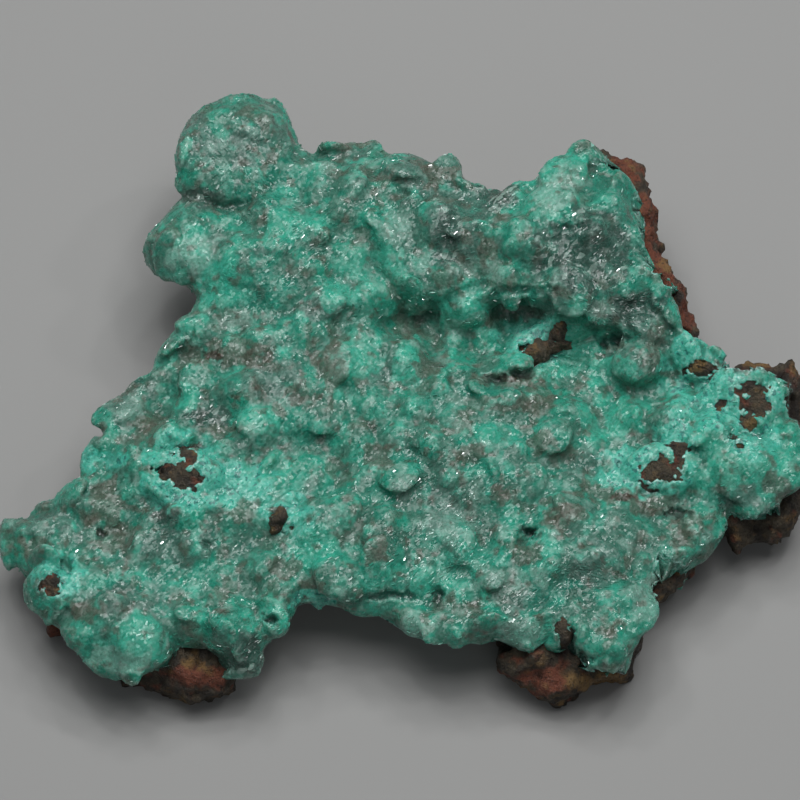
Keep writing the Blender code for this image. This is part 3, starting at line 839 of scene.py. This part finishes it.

# %% [markdown]
# ## Where each colour lies
# The crust is clear enough to show what is under it, so its colour changes from place to
# place. Patches of each colour are listed, as mm right, mm up, half width and half height in
# the view. Two deep patches are painted shadow under the ledge. Noise tears the patches' edges,
# and each list becomes an attribute on the mesh that the material reads.

# %% Colour patches
HALO = [
    (-17.2, -8.4, 4.6, 2.4), (-22, -5.2, 3.4, 2.2), (-22.4, -8.6, 3.6, 2.6), (-11.2, -11.6, 2.8, 2.2),
    (24.2, -7, 4.6, 2.6), (27.6, -3.8, 2.8, 2), (13.8, 6.2, 4.4, 2.2), (32, 0.2, 5.6, 3.4),
    (30, 3, 4, 2.2), (35, -3.6, 3, 2.4), (-34, -17.6, 2.6, 2.2), (-31.6, -5.8, 1.5, 1.5),
    (-9, -20, 2.4, 1.2), (29.4, 5.6, 2.2, 1.8), (-28.8, -6, 1.6, 1.2), (37.8, 0, 1.2, 1.4),
]
TURQUOISE = [
    (16, 4.5, 5.6, 2.4), (21, 3, 3.4, 1.8), (31, -4.6, 5, 4.4), (-14, -8.4, 4.4, 3),
    (-19, 14.5, 3, 2.8), (-11, 17.4, 3.2, 2.6), (14, 20.5, 3.6, 2.6), (21, -2, 3, 3),
    (-22, 0.5, 2.6, 1.4), (-14, -1.8, 3, 1.6), (36.5, -6, 3, 3.4), (-26, -24, 3, 2.6),
    (-3, 13, 3.4, 2.2), (6, -16.5, 3, 2.4), (6.2, 9, 2.6, 2.4), (-3.8, 4.4, 2.8, 2.4),
    (0.8, 3.6, 1.8, 2), (-8.6, -14.4, 3, 2.6), (-17.2, 11, 3, 2), (-6.6, 10.4, 2.8, 1.6),
    (16.4, 23, 2.6, 2.4), (9.8, -3.6, 2.2, 1.6), (-12.8, -22, 2.4, 2), (2.4, -18, 3.4, 1.6),
]
DEEP_TEAL_AND_LEDGE_SHADOW = [
    (5.8, 9.4, 2.6, 2), (-14.5, 11, 4, 2.2), (-4, 8, 3, 1.8), (-20.5, 1.8, 2.2, 1.4),
    # Painted shadow: the patches at 12 right 10.6 up and 20.6 right 6.4 up darken the band under the ledge.
    # The rest are deep teal.
    (12, 10.6, 3, 1.1), (20.4, 20.4, 2.2, 2), (-1, -19.6, 4, 0.9), (-12, 22, 3, 1.8),
    (8.5, 1.2, 3, 1), (-10, -3, 2, 1.6), (0, -6.5, 2.2, 1.6), (20.6, 6.4, 2.6, 1),
    (15, -19, 2.4, 1.6), (-24, -18.5, 2.6, 1.4), (24, 16, 1, 3), (17.6, 17, 1.6, 1),
    (17, -4.6, 3, 0.9), (29, -9.6, 4, 0.9), (-26.6, -11, 1.8, 1.2), (22.4, 20.6, 1.7, 3.2),
    (23.8, 14.6, 1, 4), (26.4, 10.4, 1.4, 1.4), (16.2, -24.6, 1.4, 2), (-12.8, 20.2, 4, 1.4),
]
BROWN = [
    (-16.5, 4.8, 3.6, 1.6), (-7, 3.2, 1.6, 2.8), (-29.5, -10.6, 2, 2.4), (-24.8, -3.2, 2.2, 1.8),
    (21, -9, 3.2, 1.2), (10.8, 2.2, 3.2, 0.9), (-21, 4, 1.6, 1), (-18.3, -2.4, 2, 1.2),
    (-24.2, -11.1, 1.8, 1.1), (-37, -14.7, 1.8, 1.2), (-28.8, -14.2, 1.7, 1.1), (-15.5, -10.8, 1.3, 1.5),
    (-11.7, -16.7, 1.8, 1.2), (-2.3, -14.7, 1.2, 1.6), (-2.3, -5.7, 1.8, 1.3), (-31.6, -21.3, 1.6, 1.2),
    (7.2, -5, 1.6, 1.2), (14.1, -4.4, 1.6, 1.2), (10, -9.5, 1.4, 1), (12.6, -15.4, 1.6, 1),
    (8.9, 14.7, 1.2, 1.8), (0.5, 7.6, 1.6, 1.2), (-20, 20.3, 1.8, 0.8), (9.8, 20.6, 1, 1.4),
    (33, 3, 2.2, 0.9), (17, -11.5, 2.2, 1.2), (25, -10.5, 2.6, 1.2), (-4.8, 25.6, 1.6, 0.8),
    (3, 3.4, 1.6, 1.2), (-8.6, -18.4, 1.6, 0.9), (29, -12.5, 2, 1.4), (13.5, -0.5, 2.2, 1.2),
    (-12.4, -1, 1.4, 0.9), (4, 22.6, 1.8, 1.2), (37.6, -8.6, 1.4, 2), (28.4, -3, 1.6, 0.8),
]
GREY = [
    (19, 15, 5, 4.4), (3, 22.5, 5.4, 2.6), (5.5, 17, 2.6, 4.4), (24, 7.5, 3.4, 1.8),
    (-5.5, 25, 2.8, 1.8), (-13.5, 26, 2.6, 3.4), (-20.5, 26, 2, 2.8), (-19.5, 20.5, 2.4, 1.2),
    (-15.2, -26.2, 2.4, 2.4), (4.4, -10.3, 1.8, 2.4), (10, 20.6, 3.4, 1.6), (22.5, 4.2, 2.4, 1.8),
    (-8, 9.5, 2.4, 1.8), (-23, -14.5, 4, 2), (14.5, 9, 3.2, 1.6), (-27.5, 0, 2.4, 2.4),
    (-2, 3, 2.6, 1.2), (18, -6, 3, 1.6), (34, -9.6, 3.4, 1.4), (-12, 2, 3, 2.2),
    (-36, -12.6, 3, 1.4), (-27, -20, 3, 1.6), (12, -20, 2.6, 1.4), (20, -17, 3, 2),
]
PALE = [
    (1.2, -22.8, 1.9, 1.4), (16, 20.5, 2.6, 2), (0.2, -9, 1, 2.6), (-27, -1, 1.4, 1.8),
    (-6.5, 4, 1.2, 1.6), (5, -12.6, 3, 2.2), (11, -18, 3.4, 1.6), (12, -23.5, 3, 1.4),
    (-20.5, 15, 2.6, 1.8), (7.8, 13.2, 2.6, 1.2), (-9.6, -23.8, 1.8, 0.8), (20, 9, 3, 1),
    (-28, -26, 3.2, 1.2), (24.6, -20, 1.8, 2.6), (-0.5, 17, 2.2, 1.6), (5.5, 7, 1.4, 0.8),
    (-11.4, -24.6, 1.8, 1.4), (-16, 8, 2.4, 1), (22, -6, 1.8, 0.8),
]
GLASS = [
    (18.4, 14.8, 4.6, 3.8), (23.6, 9.4, 3.4, 1.6), (-19, -1.6, 2.4, 1), (9.6, 20.4, 2.4, 1.4),
    (-15, -25.4, 1.8, 2), (4.6, 17, 1.4, 3), (-23.6, -11.6, 1.6, 1), (-19.6, 20.2, 2, 1),
]
EARTH = [
    (-9.7, -20.5, 0.7, 0.9), (16.8, 6.9, 1, 0.5), (-12.6, -11, 0.7, 0.5), (-20.2, -4.6, 0.8, 0.4),
    (11.4, 2.2, 1.8, 0.4), (-18.6, 4.4, 1.2, 0.5), (-29.8, -13.4, 0.5, 0.4), (22.4, -9.6, 1.4, 0.4),
]


# Each line names a field, its patches, the size of the noise that tears them, and how strong it is
FIELDS = [
    ("turquoise", TURQUOISE, 1.9, 0.9), ("deep", DEEP_TEAL_AND_LEDGE_SHADOW, 1.6, 0.9), ("brown", BROWN, 1.2, 1.0),
    ("grey", GREY, 2.2, 0.8), ("pale", PALE, 1.4, 1.0), ("halo", HALO, 1.3, 0.8),
    ("glass", GLASS, 1.2, 0.9), ("earth", EARTH, 0.7, 0.9),
]
KEPT_IN_PLACE = ("halo", "glass", "earth")
CHIP_ROUNDS = 3
CLOSE_ROUNDS = 3
BROAD_ROUNDS = 22
CREASE_DEPTH = 0.3 * MM


def relief_fields(points, normals, edges):
    """How far each vertex stands out of its surroundings, closely and broadly."""
    count = len(points)
    soft = points.copy()
    for _ in range(CLOSE_ROUNDS):
        soft = neighbour_mean(soft, edges, count)
    close = np.einsum("ij,ij->i", points - soft, normals)
    for _ in range(BROAD_ROUNDS):
        soft = neighbour_mean(soft, edges, count)
    broad = np.einsum("ij,ij->i", points - soft, normals)
    return close, broad


def faces_view(normals):
    """1 where a surface faces the view, 0 where it faces away."""
    return smoothstep(-0.25, 0.2, normals @ np.array(view_back))


def paint_crust():
    """Writes every colour field of the crust as attributes."""
    mesh = crust.data
    points, normals, shown = look_over(mesh)
    edges = read_edges(mesh)
    close, broad = relief_fields(points, normals, edges)
    crest = smoothstep(0.0, 0.35 * MM, broad)
    # Painted shade: this mask is 1 in concave creases, which the colour group darkens. It also leans the
    # clouds to grey-green and the hollows to seen rock there.
    crease_shade = smoothstep(0.0, CREASE_DEPTH, -broad)
    write_attribute(mesh, "crease_shade", crease_shade)
    write_attribute(mesh, "rim", smoothstep(0.015 * MM, 0.07 * MM, close))
    for shift, (name, patches, size, tear) in enumerate(FIELDS):
        drawn = patch_weights(shown, patches) * faces_view(normals)
        mask = drawn + tear * noise_field(points, size, 3, 9.0 * shift)
        if name in KEPT_IN_PLACE:
            mask *= smoothstep(0.0, 0.25, drawn)
        write_attribute(mesh, name, smoothstep(0.2, 0.75, mask))
    spread = [("clouds", (2.9, 3, 60.0), 0.2 * crest - 0.1 * crease_shade, -0.18, 0.28),
              ("hollows", (2.3, 3, 70.0), 0.25 * crease_shade, 0.16, 0.5),
              ("gleams", (1.5, 2, 80.0), 0.14 * crest, 0.12, 0.5)]
    for name, settings, bias, low, high in spread:
        write_attribute(mesh, name, smoothstep(low, high, noise_field(points, *settings) + bias))
    torn_here = read_attribute(mesh, "torn")
    edge = torn_here.copy()
    for _ in range(CHIP_ROUNDS):
        edge = neighbour_mean(edge[:, None], edges, len(points))[:, 0]
    write_attribute(mesh, "chip", np.clip(3.0 * edge, 0, 1) * (1 - torn_here))
    print("close relief mm", np.percentile(close / MM, (5, 50, 95)).round(3),
          "broad relief mm", np.percentile(broad / MM, (5, 50, 95)).round(3))


paint_crust()

# %% [markdown]
# ## Shader helpers
# The materials are mostly attributes, noise and mixes, so each gets a short function that adds
# the node and returns its output.

# %% Shader helpers
def attribute(tree, name):
    """A vertex attribute's value."""
    return put(tree, "ShaderNodeAttribute", {"attribute_name": name}).outputs["Fac"]


def blend_colour(tree, factor, below, above):
    """Mixes two colours, each a socket or a tuple."""
    node = put(tree, "ShaderNodeMix", {"data_type": "RGBA"}, {0: factor})
    for socket, value in ((node.inputs[6], below), (node.inputs[7], above)):
        if isinstance(value, bpy.types.NodeSocket):
            tree.links.new(value, socket)
        else:
            socket.default_value = (*value, 1.0)
    return node.outputs[2]


def times(tree, value, factor):
    """Value times a factor, clamped."""
    return maths(tree, "MULTIPLY", value, factor, clamp=True)


def object_place(tree):
    """Coordinates on the object."""
    return put(tree, "ShaderNodeTexCoord").outputs["Object"]


def stretched_place(tree, stretch):
    """Coordinates on the object, drawn out along a direction. A stretch is a turn and a scale."""
    place = object_place(tree)
    if not stretch:
        return place
    turned = put(tree, "ShaderNodeMapping", None, {"Vector": place, "Rotation": stretch[0]}).outputs[0]
    return vectors(tree, "MULTIPLY", turned, stretch[1])


def noise_value(tree, size, detail=3.0, roughness=0.55, stretch=None):
    """Noise of a size in millimetres, about 0 to 1."""
    settings = {"Vector": stretched_place(tree, stretch), "Scale": 1 / (size * MM)}
    settings.update({"Detail": detail, "Roughness": roughness})
    return put(tree, "ShaderNodeTexNoise", None, settings).outputs[0]


def grain_value(tree, size, stretch):
    """Random value that is the same all over each crystal grain of a size in millimetres."""
    cells = put(tree, "ShaderNodeTexVoronoi", None,
                {"Vector": stretched_place(tree, stretch), "Scale": 1 / (size * MM)})
    return put(tree, "ShaderNodeSeparateColor", None, {0: cells.outputs["Color"]}).outputs[0]


def steps(tree, value, low, high):
    """Soft step of a value between two levels."""
    return put(tree, "ShaderNodeMapRange", {"interpolation_type": "SMOOTHSTEP"},
               {"Value": value, "From Min": low, "From Max": high}).outputs[0]


def layered(tree, colour, layers):
    """Lays shades over a colour. Each comes with a mask and how strongly it covers."""
    for mask, strength, shade in layers:
        colour = blend_colour(tree, times(tree, mask, strength), colour, shade)
    return colour


def bump_normal(tree, height, strength, depth, normal=None):
    """Normal that a height in millimetres bends, on top of another normal if there is one."""
    inputs = {"Height": height, "Strength": strength, "Distance": depth * MM}
    if normal is not None:
        inputs["Normal"] = normal
    return put(tree, "ShaderNodeBump", None, inputs).outputs[0]


def new_material(name):
    """Material with an empty tree but its Principled shader."""
    material = bpy.data.materials.new(name)
    material.use_nodes = True
    return material, material.node_tree, material.node_tree.nodes["Principled BSDF"]


def dress(thing, material):
    """Gives an object one material and smooth shading."""
    thing.data.materials.clear()
    thing.data.materials.append(material)
    thing.data.shade_smooth()


# %% [markdown]
# ## The stone's colour
# The colour is layered the way the stone is. A clear grey-green body comes first, then clouds
# of teal on the domes and brown rock seen through the hollows, then the listed patches, and
# last the fine marks: fissures, chips, frills, fibres, grains and pits. Painted shade darkens
# the creases and the pits, two deep patches paint the shadow under the ledge, and some pale
# cells are partly painted glints. The crust and its needles share it, so it is a group.

# %% Aragonite colour group
GREY_GREEN = (0.045, 0.175, 0.125)
TEAL = (0.018, 0.27, 0.182)
AQUA = (0.042, 0.4, 0.285)
BRIGHT = (0.045, 0.45, 0.315)
DEEP_TEAL = (0.01, 0.22, 0.15)
CLEAR_GREY = (0.075, 0.145, 0.118)
WHITISH = (0.25, 0.43, 0.36)
SEEN_ROCK = (0.1, 0.082, 0.06)
HALO_COLOUR = (0.07, 0.49, 0.37)
FISSURE = (0.012, 0.17, 0.15)
CHIP = (0.34, 0.74, 0.63)
# Pale frost, also laid on some cells as painted glints.
FROST_AND_GLINT = (0.34, 0.48, 0.42)
SHADE = (0.022, 0.1, 0.072)
PIT_SHADE = (0.008, 0.03, 0.025)
GLASS_GREY = (0.045, 0.085, 0.07)
EARTH_BROWN = (0.05, 0.03, 0.018)
GRAIN_STRETCH = (0.5, 1.0, 1.0)
FIBRE_TURN = (0.0, 0.0, -0.78)
FIBRE_STRETCH = (0.16, 1.0, 1.0)


# Each line names a field, how strongly its colour covers and the colour
LAYERS = [
    ("gleams", 0.42, AQUA), ("grey", 0.7, CLEAR_GREY), ("hollows", 0.5, SEEN_ROCK),
    # The deep field is deep teal and, in two patches, painted shadow under the ledge.
    ("deep", 0.75, DEEP_TEAL), ("turquoise", 0.6, BRIGHT), ("pale", 0.5, WHITISH),
    ("brown", 0.62, SEEN_ROCK), ("glass", 0.75, GLASS_GREY), ("halo", 0.85, HALO_COLOUR),
    ("earth", 0.92, EARTH_BROWN),
]


def make_colour_group():
    """Layered colour of the aragonite."""
    fibre_socket = ("Fibre", "NodeSocketFloat", 0.5)
    colour_socket = ("Colour", "NodeSocketColor", None)
    tree, given, result = new_tree("aragonite colour", "ShaderNodeTree", [fibre_socket], [colour_socket])
    colour = blend_colour(tree, attribute(tree, "clouds"), GREY_GREEN, TEAL)
    fine = noise_value(tree, 0.55, 3.0, 0.65)
    centred = maths(tree, "SUBTRACT", fine, 0.5)
    for name, strength, shade in LAYERS:
        mask = maths(tree, "MULTIPLY_ADD", centred, 0.25, attribute(tree, name))
        colour = layered(tree, colour, [(steps(tree, mask, 0.05, 0.95), strength, shade)])
    halo = attribute(tree, "halo")
    grit = noise_value(tree, 0.7, 3.0, 0.65)
    fissures = steps(tree, maths(tree, "MULTIPLY", halo, grit), 0.54, 0.6)
    grains = steps(tree, maths(tree, "SUBTRACT", halo, grit), 0.58, 0.66)
    chips = maths(tree, "MULTIPLY_ADD", attribute(tree, "chip"), 0.65, -1.0)
    chips = steps(tree, maths(tree, "MULTIPLY_ADD", fine, 1.6, chips), 0.35, 0.6)
    frill = maths(tree, "MULTIPLY", attribute(tree, "rim"), steps(tree, fine, 0.4, 0.65))
    fibres = noise_value(tree, 0.32, 2.0, 0.6, (FIBRE_TURN, FIBRE_STRETCH))
    light_fibres = times(tree, steps(tree, fibres, 0.52, 0.72), given["Fibre"])
    dark_fibres = times(tree, steps(tree, fibres, 0.48, 0.3), given["Fibre"])
    cells = grain_value(tree, 0.5, (FIBRE_TURN, GRAIN_STRETCH))
    glass = attribute(tree, "glass")
    dark_cells = times(tree, steps(tree, cells, 0.45, 0.15), maths(tree, "MULTIPLY_ADD", glass, 0.6, 0.12))
    # Pale cells: partly pale crystal ends, partly painted glints.
    pale_cells_and_glints = times(tree, steps(tree, cells, 0.84, 0.96), maths(tree, "MULTIPLY_ADD", glass, 0.6, 0.08))
    colour = layered(tree, colour, [
        (fissures, 0.85, FISSURE), (grains, 0.6, CHIP), (chips, 0.85, CHIP), (frill, 0.45, FROST_AND_GLINT),
        # Painted shade: the crease field darkens the concave creases.
        (attribute(tree, "crease_shade"), 0.35, SHADE), (light_fibres, 0.16, FROST_AND_GLINT), (dark_fibres, 0.26, SHADE),
        # Painted shade: the pit field darkens the pits nearly to black.
        (dark_cells, 1.0, SHADE), (pale_cells_and_glints, 1.0, FROST_AND_GLINT), (attribute(tree, "painted_pit_shade"), 0.92, PIT_SHADE)])
    tree.links.new(colour, result[0])
    return tree


colour_group = make_colour_group()
print("colour group with", len(colour_group.nodes), "nodes")


def stone_colour(tree, fibre):
    """Places the stone's colour group."""
    return put(tree, "ShaderNodeGroup", {"node_tree": colour_group}, {"Fibre": fibre}).outputs[0]


# %% [markdown]
# ## Facets
# A broken crystal skin is a patchwork of tiny flat faces. Each cell of a Voronoi texture gets
# its own slope: the cell's random colour, dotted with the place inside the cell, is a height
# that rises evenly across it. A Bump node turns that into facets that flash one by one.

# %% Facet height group
def make_facet_group():
    """Height of small tilted facets, in millimetres."""
    tree, given, result = new_tree("facets", "ShaderNodeTree", [("Size", "NodeSocketFloat", 0.4)],
                                   [("Height", "NodeSocketFloat", None)])
    place = object_place(tree)
    scale = maths(tree, "DIVIDE", 1.0 / MM, given["Size"])
    cells = put(tree, "ShaderNodeTexVoronoi", None, {"Vector": place, "Scale": scale}).outputs
    slope = vectors(tree, "SUBTRACT", cells["Color"], (0.5, 0.5, 0.5))
    inside = vectors(tree, "SUBTRACT", place, cells["Position"])
    height = vectors(tree, "DOT_PRODUCT", slope, inside)
    tree.links.new(maths(tree, "DIVIDE", height, MM), result[0])
    return tree


facet_group = make_facet_group()
print("facet group with", len(facet_group.nodes), "nodes")

# %% [markdown]
# ## The aragonite material
# Light enters the crust, scatters and comes out a little further on, so the shader uses
# subsurface scattering under a glassy skin. Facets and fibres break its reflections up.

# %% Aragonite material
def make_aragonite():
    """Translucent mottled green under a glassy, faceted skin."""
    material, tree, shader = new_material("aragonite")
    rough = steps(tree, noise_value(tree, 0.9, 2.0), 0.38, 0.6)
    rough = maths(tree, "MULTIPLY_ADD", rough, 0.34, 0.16)
    rough = maths(tree, "MULTIPLY_ADD", attribute(tree, "sparkle"), -0.1, rough)
    facets = put(tree, "ShaderNodeGroup", {"node_tree": facet_group}, {"Size": 0.28}).outputs[0]
    fibres = noise_value(tree, 0.28, 2.0, 0.6, (FIBRE_TURN, FIBRE_STRETCH))
    normal = bump_normal(tree, fibres, 0.6, 0.1, bump_normal(tree, facets, 0.7, 0.8))
    fill(tree, shader, {
        "Base Color": stone_colour(tree, 0.6), "Roughness": rough, "Normal": normal, "IOR": 1.55,
        "Subsurface Weight": 0.6, "Subsurface Radius": (0.5, 1.0, 0.85), "Subsurface Scale": 1.4 * MM,
        "Sheen Weight": 0.08, "Sheen Roughness": 0.35, "Sheen Tint": (0.75, 0.9, 0.83, 1.0)})
    return material


dress(crust, make_aragonite())
print("aragonite material with", len(crust.data.materials[0].node_tree.nodes), "nodes")

# %% [markdown]
# ## The limonite material
# Limonite is an earthy mix of iron oxides: dark brown to nearly black in the pits, rust red
# and orange where it is fresh. Noise of three sizes mixes the browns, listed patches turn the
# feet and the upper right rim redder, and painted shade darkens the creases.

# %% Limonite material
RUST = [(22.0, 22.6, 2.6, 1.6), (24.6, 17.0, 1.6, 4.0), (26.4, 12.6, 2.0, 2.6), (28.6, 8.4, 1.6, 1.8),
        (-20, -27.6, 3, 1.4), (15, -28, 3, 1.8), (-35, -23, 2, 1.4)]
OCHRE = [(21.0, -28.0, 2.4, 0.9), (26.8, 13.4, 0.9, 0.9), (-21.0, -26.4, 1.4, 0.7), (18.0, -28.2, 2.2, 0.9),
         (29.6, 3.4, 1.4, 0.8), (35.6, 3.5, 1.6, 0.5), (35.2, -2.4, 0.6, 0.5)]
UMBER = (0.026, 0.021, 0.015)
EARTHY = (0.07, 0.055, 0.034)
RUST_RED = (0.19, 0.052, 0.026)
WARM_BROWN = (0.17, 0.095, 0.045)
OCHRE_YELLOW = (0.23, 0.135, 0.045)
PAINTED_CREASE_SHADE = (0.014, 0.009, 0.007)
PORE_BLACK = (0.012, 0.008, 0.006)


def paint_rock():
    """Writes the rock's colour fields as attributes."""
    mesh = rock.data
    points, normals, shown = look_over(mesh)
    for name, patches, shift in (("rust", RUST, 0.0), ("ochre", OCHRE, 9.0)):
        drawn = patch_weights(shown, patches) * faces_view(normals)
        mask = drawn + 0.9 * noise_field(points, 1.3, 3, shift)
        write_attribute(mesh, name, smoothstep(0.25, 0.7, mask))
    # Painted shade: concave creases of the broad relief get a mask that the material darkens.
    _, broad = relief_fields(points, normals, read_edges(mesh))
    write_attribute(mesh, "crease_shade", smoothstep(0.0, CREASE_DEPTH, -broad))
    print("rock broad relief mm", np.percentile(broad / MM, (5, 50, 95)).round(3))


def make_limonite():
    """Earthy browns, rust and ochre, with painted shade in the creases."""
    material, tree, shader = new_material("limonite")
    browns = steps(tree, noise_value(tree, 1.6, 4.0), 0.38, 0.62)
    warm = steps(tree, noise_value(tree, 0.9, 4.0, 0.6), 0.55, 0.68)
    pores = steps(tree, noise_value(tree, 0.3, 3.0, 0.7), 0.46, 0.38)
    colour = layered(tree, blend_colour(tree, browns, UMBER, EARTHY), [
        (attribute(tree, "rust"), 0.85, RUST_RED), (warm, 0.45, WARM_BROWN),
        # Painted shade in the creases.
        (attribute(tree, "ochre"), 0.8, OCHRE_YELLOW), (attribute(tree, "crease_shade"), 0.75, PAINTED_CREASE_SHADE),
        (pores, 0.75, PORE_BLACK)])
    rough = maths(tree, "MULTIPLY_ADD", steps(tree, noise_value(tree, 0.7), 0.3, 0.7), 0.45, 0.35)
    normal = bump_normal(tree, noise_value(tree, 0.4, 4.0, 0.7), 1.0, 0.5)
    fill(tree, shader, {"Base Color": colour, "Roughness": rough, "Normal": normal})
    return material


paint_rock()
dress(rock, make_limonite())
print("limonite material with", len(rock.data.materials[0].node_tree.nodes), "nodes")

# %% [markdown]
# ## Glinting crystals
# The skin is made of fine needles whose ends catch the light as short bright strokes. They
# are far too many to place by hand, so Geometry Nodes spreads points over the crust, lays a
# small flat blade at each along the local grain, and makes them real. Patches say where they
# are dense, and fans, as a middle and a reach, say where the grain radiates.

# %% Needle tree
NEEDLE_STRAYS = ((-0.5, -0.5, -0.3), (0.5, 0.5, 0.3))


def make_needle_tree():
    """Small flat blades laid along the grain of a surface."""
    tree, given, result = new_geometry_tree("glinting needles", {
        "Density": 4e6, "Length": 0.45 * MM, "Width": 0.09 * MM, "Seed": 7, "Material": None})
    amount = maths(tree, "MULTIPLY", stored(tree, "sparkle"), given["Density"])
    spread = put(tree, "GeometryNodeDistributePointsOnFaces", {"distribute_method": "RANDOM"},
                 {"Mesh": given["Geometry"], "Density": amount, "Seed": given["Seed"]}).outputs
    grain = stored(tree, "grain", "FLOAT_VECTOR")
    along = vectors(tree, "ADD", grain, stray(tree, *NEEDLE_STRAYS, 4))
    across = vectors(tree, "CROSS_PRODUCT", spread["Normal"], along)
    flat = vectors(tree, "CROSS_PRODUCT", across, spread["Normal"])
    axis = vectors(tree, "ADD", flat, vectors(tree, "SCALE", spread["Normal"], 0.1))
    size = between(tree, maths(tree, "POWER", stray(tree, 0.0, 1.0, 9), 3.0), 0.5, 1.9)
    thick = maths(tree, "MULTIPLY", given["Width"], 1.8)
    scale = scaled_shape(tree, given["Width"], thick, given["Length"], size)
    blade = put(tree, "GeometryNodeMeshCube", None, {"Size": (1.0, 1.0, 1.0)})
    needles = spun_copies(tree, spread["Points"], blade.outputs[0], axis, (0.0, math.tau), scale)
    done = put(tree, "GeometryNodeSetMaterial", None, {"Geometry": needles, "Material": given["Material"]})
    tree.links.new(done.outputs[0], result[0])
    return tree


SPARKLE = [
    (5, -12, 9, 9, 1), (19, 15, 6, 5, 1), (-17, -24, 7, 4, 0.9),
    (-18, -2, 5, 3, 0.7), (4, 20, 10, 4, 0.7), (-16, 22, 7, 7, 0.5),
    (-10, 13, 9, 4, 0.5), (14, -20, 12, 5, 0.7), (-25, -12, 6, 4, 0.6),
    (22, 9, 5, 2.5, 1.5), (-27, 1, 3, 3, 0.8), (18, 15, 4, 3.4, 1.8),
    (-20, -1.8, 3, 1.6, 1.3), (-24, -11.6, 2.4, 1.4, 1.2), (-14.6, -25, 2.2, 2.4, 1.3),
    (2, -7, 2, 6, 1.2), (-10, 16, 3, 5, 0.8), (5, 18, 2, 4, 1),
    (35, -3.4, 3, 1.8, 1.2), (17, -17.4, 7, 1.8, 1.3),
]
FANS = [(23.0, -18.0, 7.0), (-16.2, 24.0, 7.0), (-20.0, 15.0, 5.0), (20.0, 9.0, 6.0), (0.0, 12.0, 5.0)]
GRAIN_BASE = (0.72, 0.69, 0.0)
LEAST_SPARKLE = 0.14


def paint_needles():
    """Writes how dense the needles are and which way they run."""
    mesh = crust.data
    points, normals, shown = look_over(mesh)
    dense = np.maximum(LEAST_SPARKLE, patch_weights(shown, SPARKLE, 1.3, 0.2))
    dense *= 0.35 + 1.3 * smoothstep(-0.1, 0.35, noise_field(points, 1.8, 2, 90.0))
    outside = smoothstep(-0.5, 0.0, normals[:, 2])
    untorn = 1 - read_attribute(mesh, "torn")
    write_attribute(mesh, "sparkle", dense * outside * untorn)
    grain = np.tile(np.array(GRAIN_BASE), (len(points), 1))
    for right, up, reach in FANS:
        away = shown - np.array((right, up))
        span = np.hypot(away[:, 0], away[:, 1])
        flat = np.stack([away[:, 0], away[:, 1], np.zeros(len(span))], axis=1)
        fan = flat / np.maximum(span, 0.01)[:, None]
        share = smoothstep(reach, reach * 0.6, span)[:, None]
        grain = grain * (1 - share) + fan * share
    layer = mesh.attributes.new("grain", "FLOAT_VECTOR", "POINT")
    layer.data.foreach_set("vector", grain.astype(np.float32).ravel())


def make_needle_material():
    """Glassy needles in the stone's own colour."""
    material, tree, shader = new_material("aragonite needles")
    fill(tree, shader, {"Base Color": stone_colour(tree, 0.3), "Roughness": 0.12, "IOR": 1.65,
                        "Coat Weight": 0.6, "Coat Roughness": 0.05})
    return material


paint_needles()
needle_tree = make_needle_tree()
needles = add_object("aragonite_needles", crust.data.copy())
add_nodes_modifier(needles, needle_tree, {"Density": 1.55e7, "Length": 0.26 * MM, "Width": 0.055 * MM,
                                          "Seed": 7, "Material": make_needle_material()})
bake_modifiers(needles)
print("needles", len(needles.data.polygons) // 6)

# %% [markdown]
# ## Table and light
# A plain pale floor and soft light from above and behind, as on a photographer's table. A big
# soft panel does most of the work, and six small lamps give the facets something to catch.

# %% Floor
FLOOR_SIZE = 3.0
bpy.ops.mesh.primitive_plane_add(size=FLOOR_SIZE)
floor = bpy.context.object
floor.name = "floor"
floor_material, _, floor_shader = new_material("pale floor")
floor_shader.inputs["Base Color"].default_value = (0.28, 0.28, 0.275, 1.0)
floor_shader.inputs["Roughness"].default_value = 0.7
floor.data.materials.append(floor_material)


# %% Lights
def add_panel(name, place, aim, size, power):
    """Square area light that looks at a point."""
    data = bpy.data.lights.new(name, "AREA")
    data.size = size
    data.energy = power
    panel = bpy.data.objects.new(name, data)
    panel.location = place
    panel.rotation_euler = (Vector(place) - Vector(aim)).to_track_quat("Z", "Y").to_euler()
    bpy.context.scene.collection.objects.link(panel)


LAMPS = [(0.03, 0.25, 0.11), (0.17, 0.2, 0.11), (-0.15, 0.22, 0.11), (0.1, 0.08, 0.1), (-0.08, 0.1, 0.1),
         (0.3, 0.12, 0.14)]
LAMP_HEIGHT = 0.4
LAMP_SIZE = 0.03
add_panel("overhead panel", (0.0, 0.07, 0.35), (0, 0, 0), 0.3, 1.0)
add_panel("front panel", (0.06, -0.3, 0.24), (0.0, -0.06, 0), 0.2, 0.1)
for number, (right, back, power) in enumerate(LAMPS, 1):
    add_panel(f"lamp {number}", (right, back, LAMP_HEIGHT), (0, 0, 0), LAMP_SIZE, power)
print("panels and lamps", 2 + len(LAMPS))

world = bpy.data.worlds.new("studio")
world.use_nodes = True
sky = world.node_tree.nodes["Background"]
fill(world.node_tree, sky, {"Color": (0.9, 0.95, 1.0, 1.0), "Strength": 0.11})
bpy.context.scene.world = world
bpy.context.scene.view_settings.view_transform = "Standard"

# %% [markdown]
# ## Hand over to the frame
# Both dressed pieces stand for their CAD nodes and ride with the one body. The needles are an
# extra piece that rides along.

# %% Ride and finish
for piece, node, slot in ((rock, "limonite_matrix", "limonite"), (crust, "aragonite_crust", "aragonite")):
    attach(piece, "root")
    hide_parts(node)
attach(needles, "root")
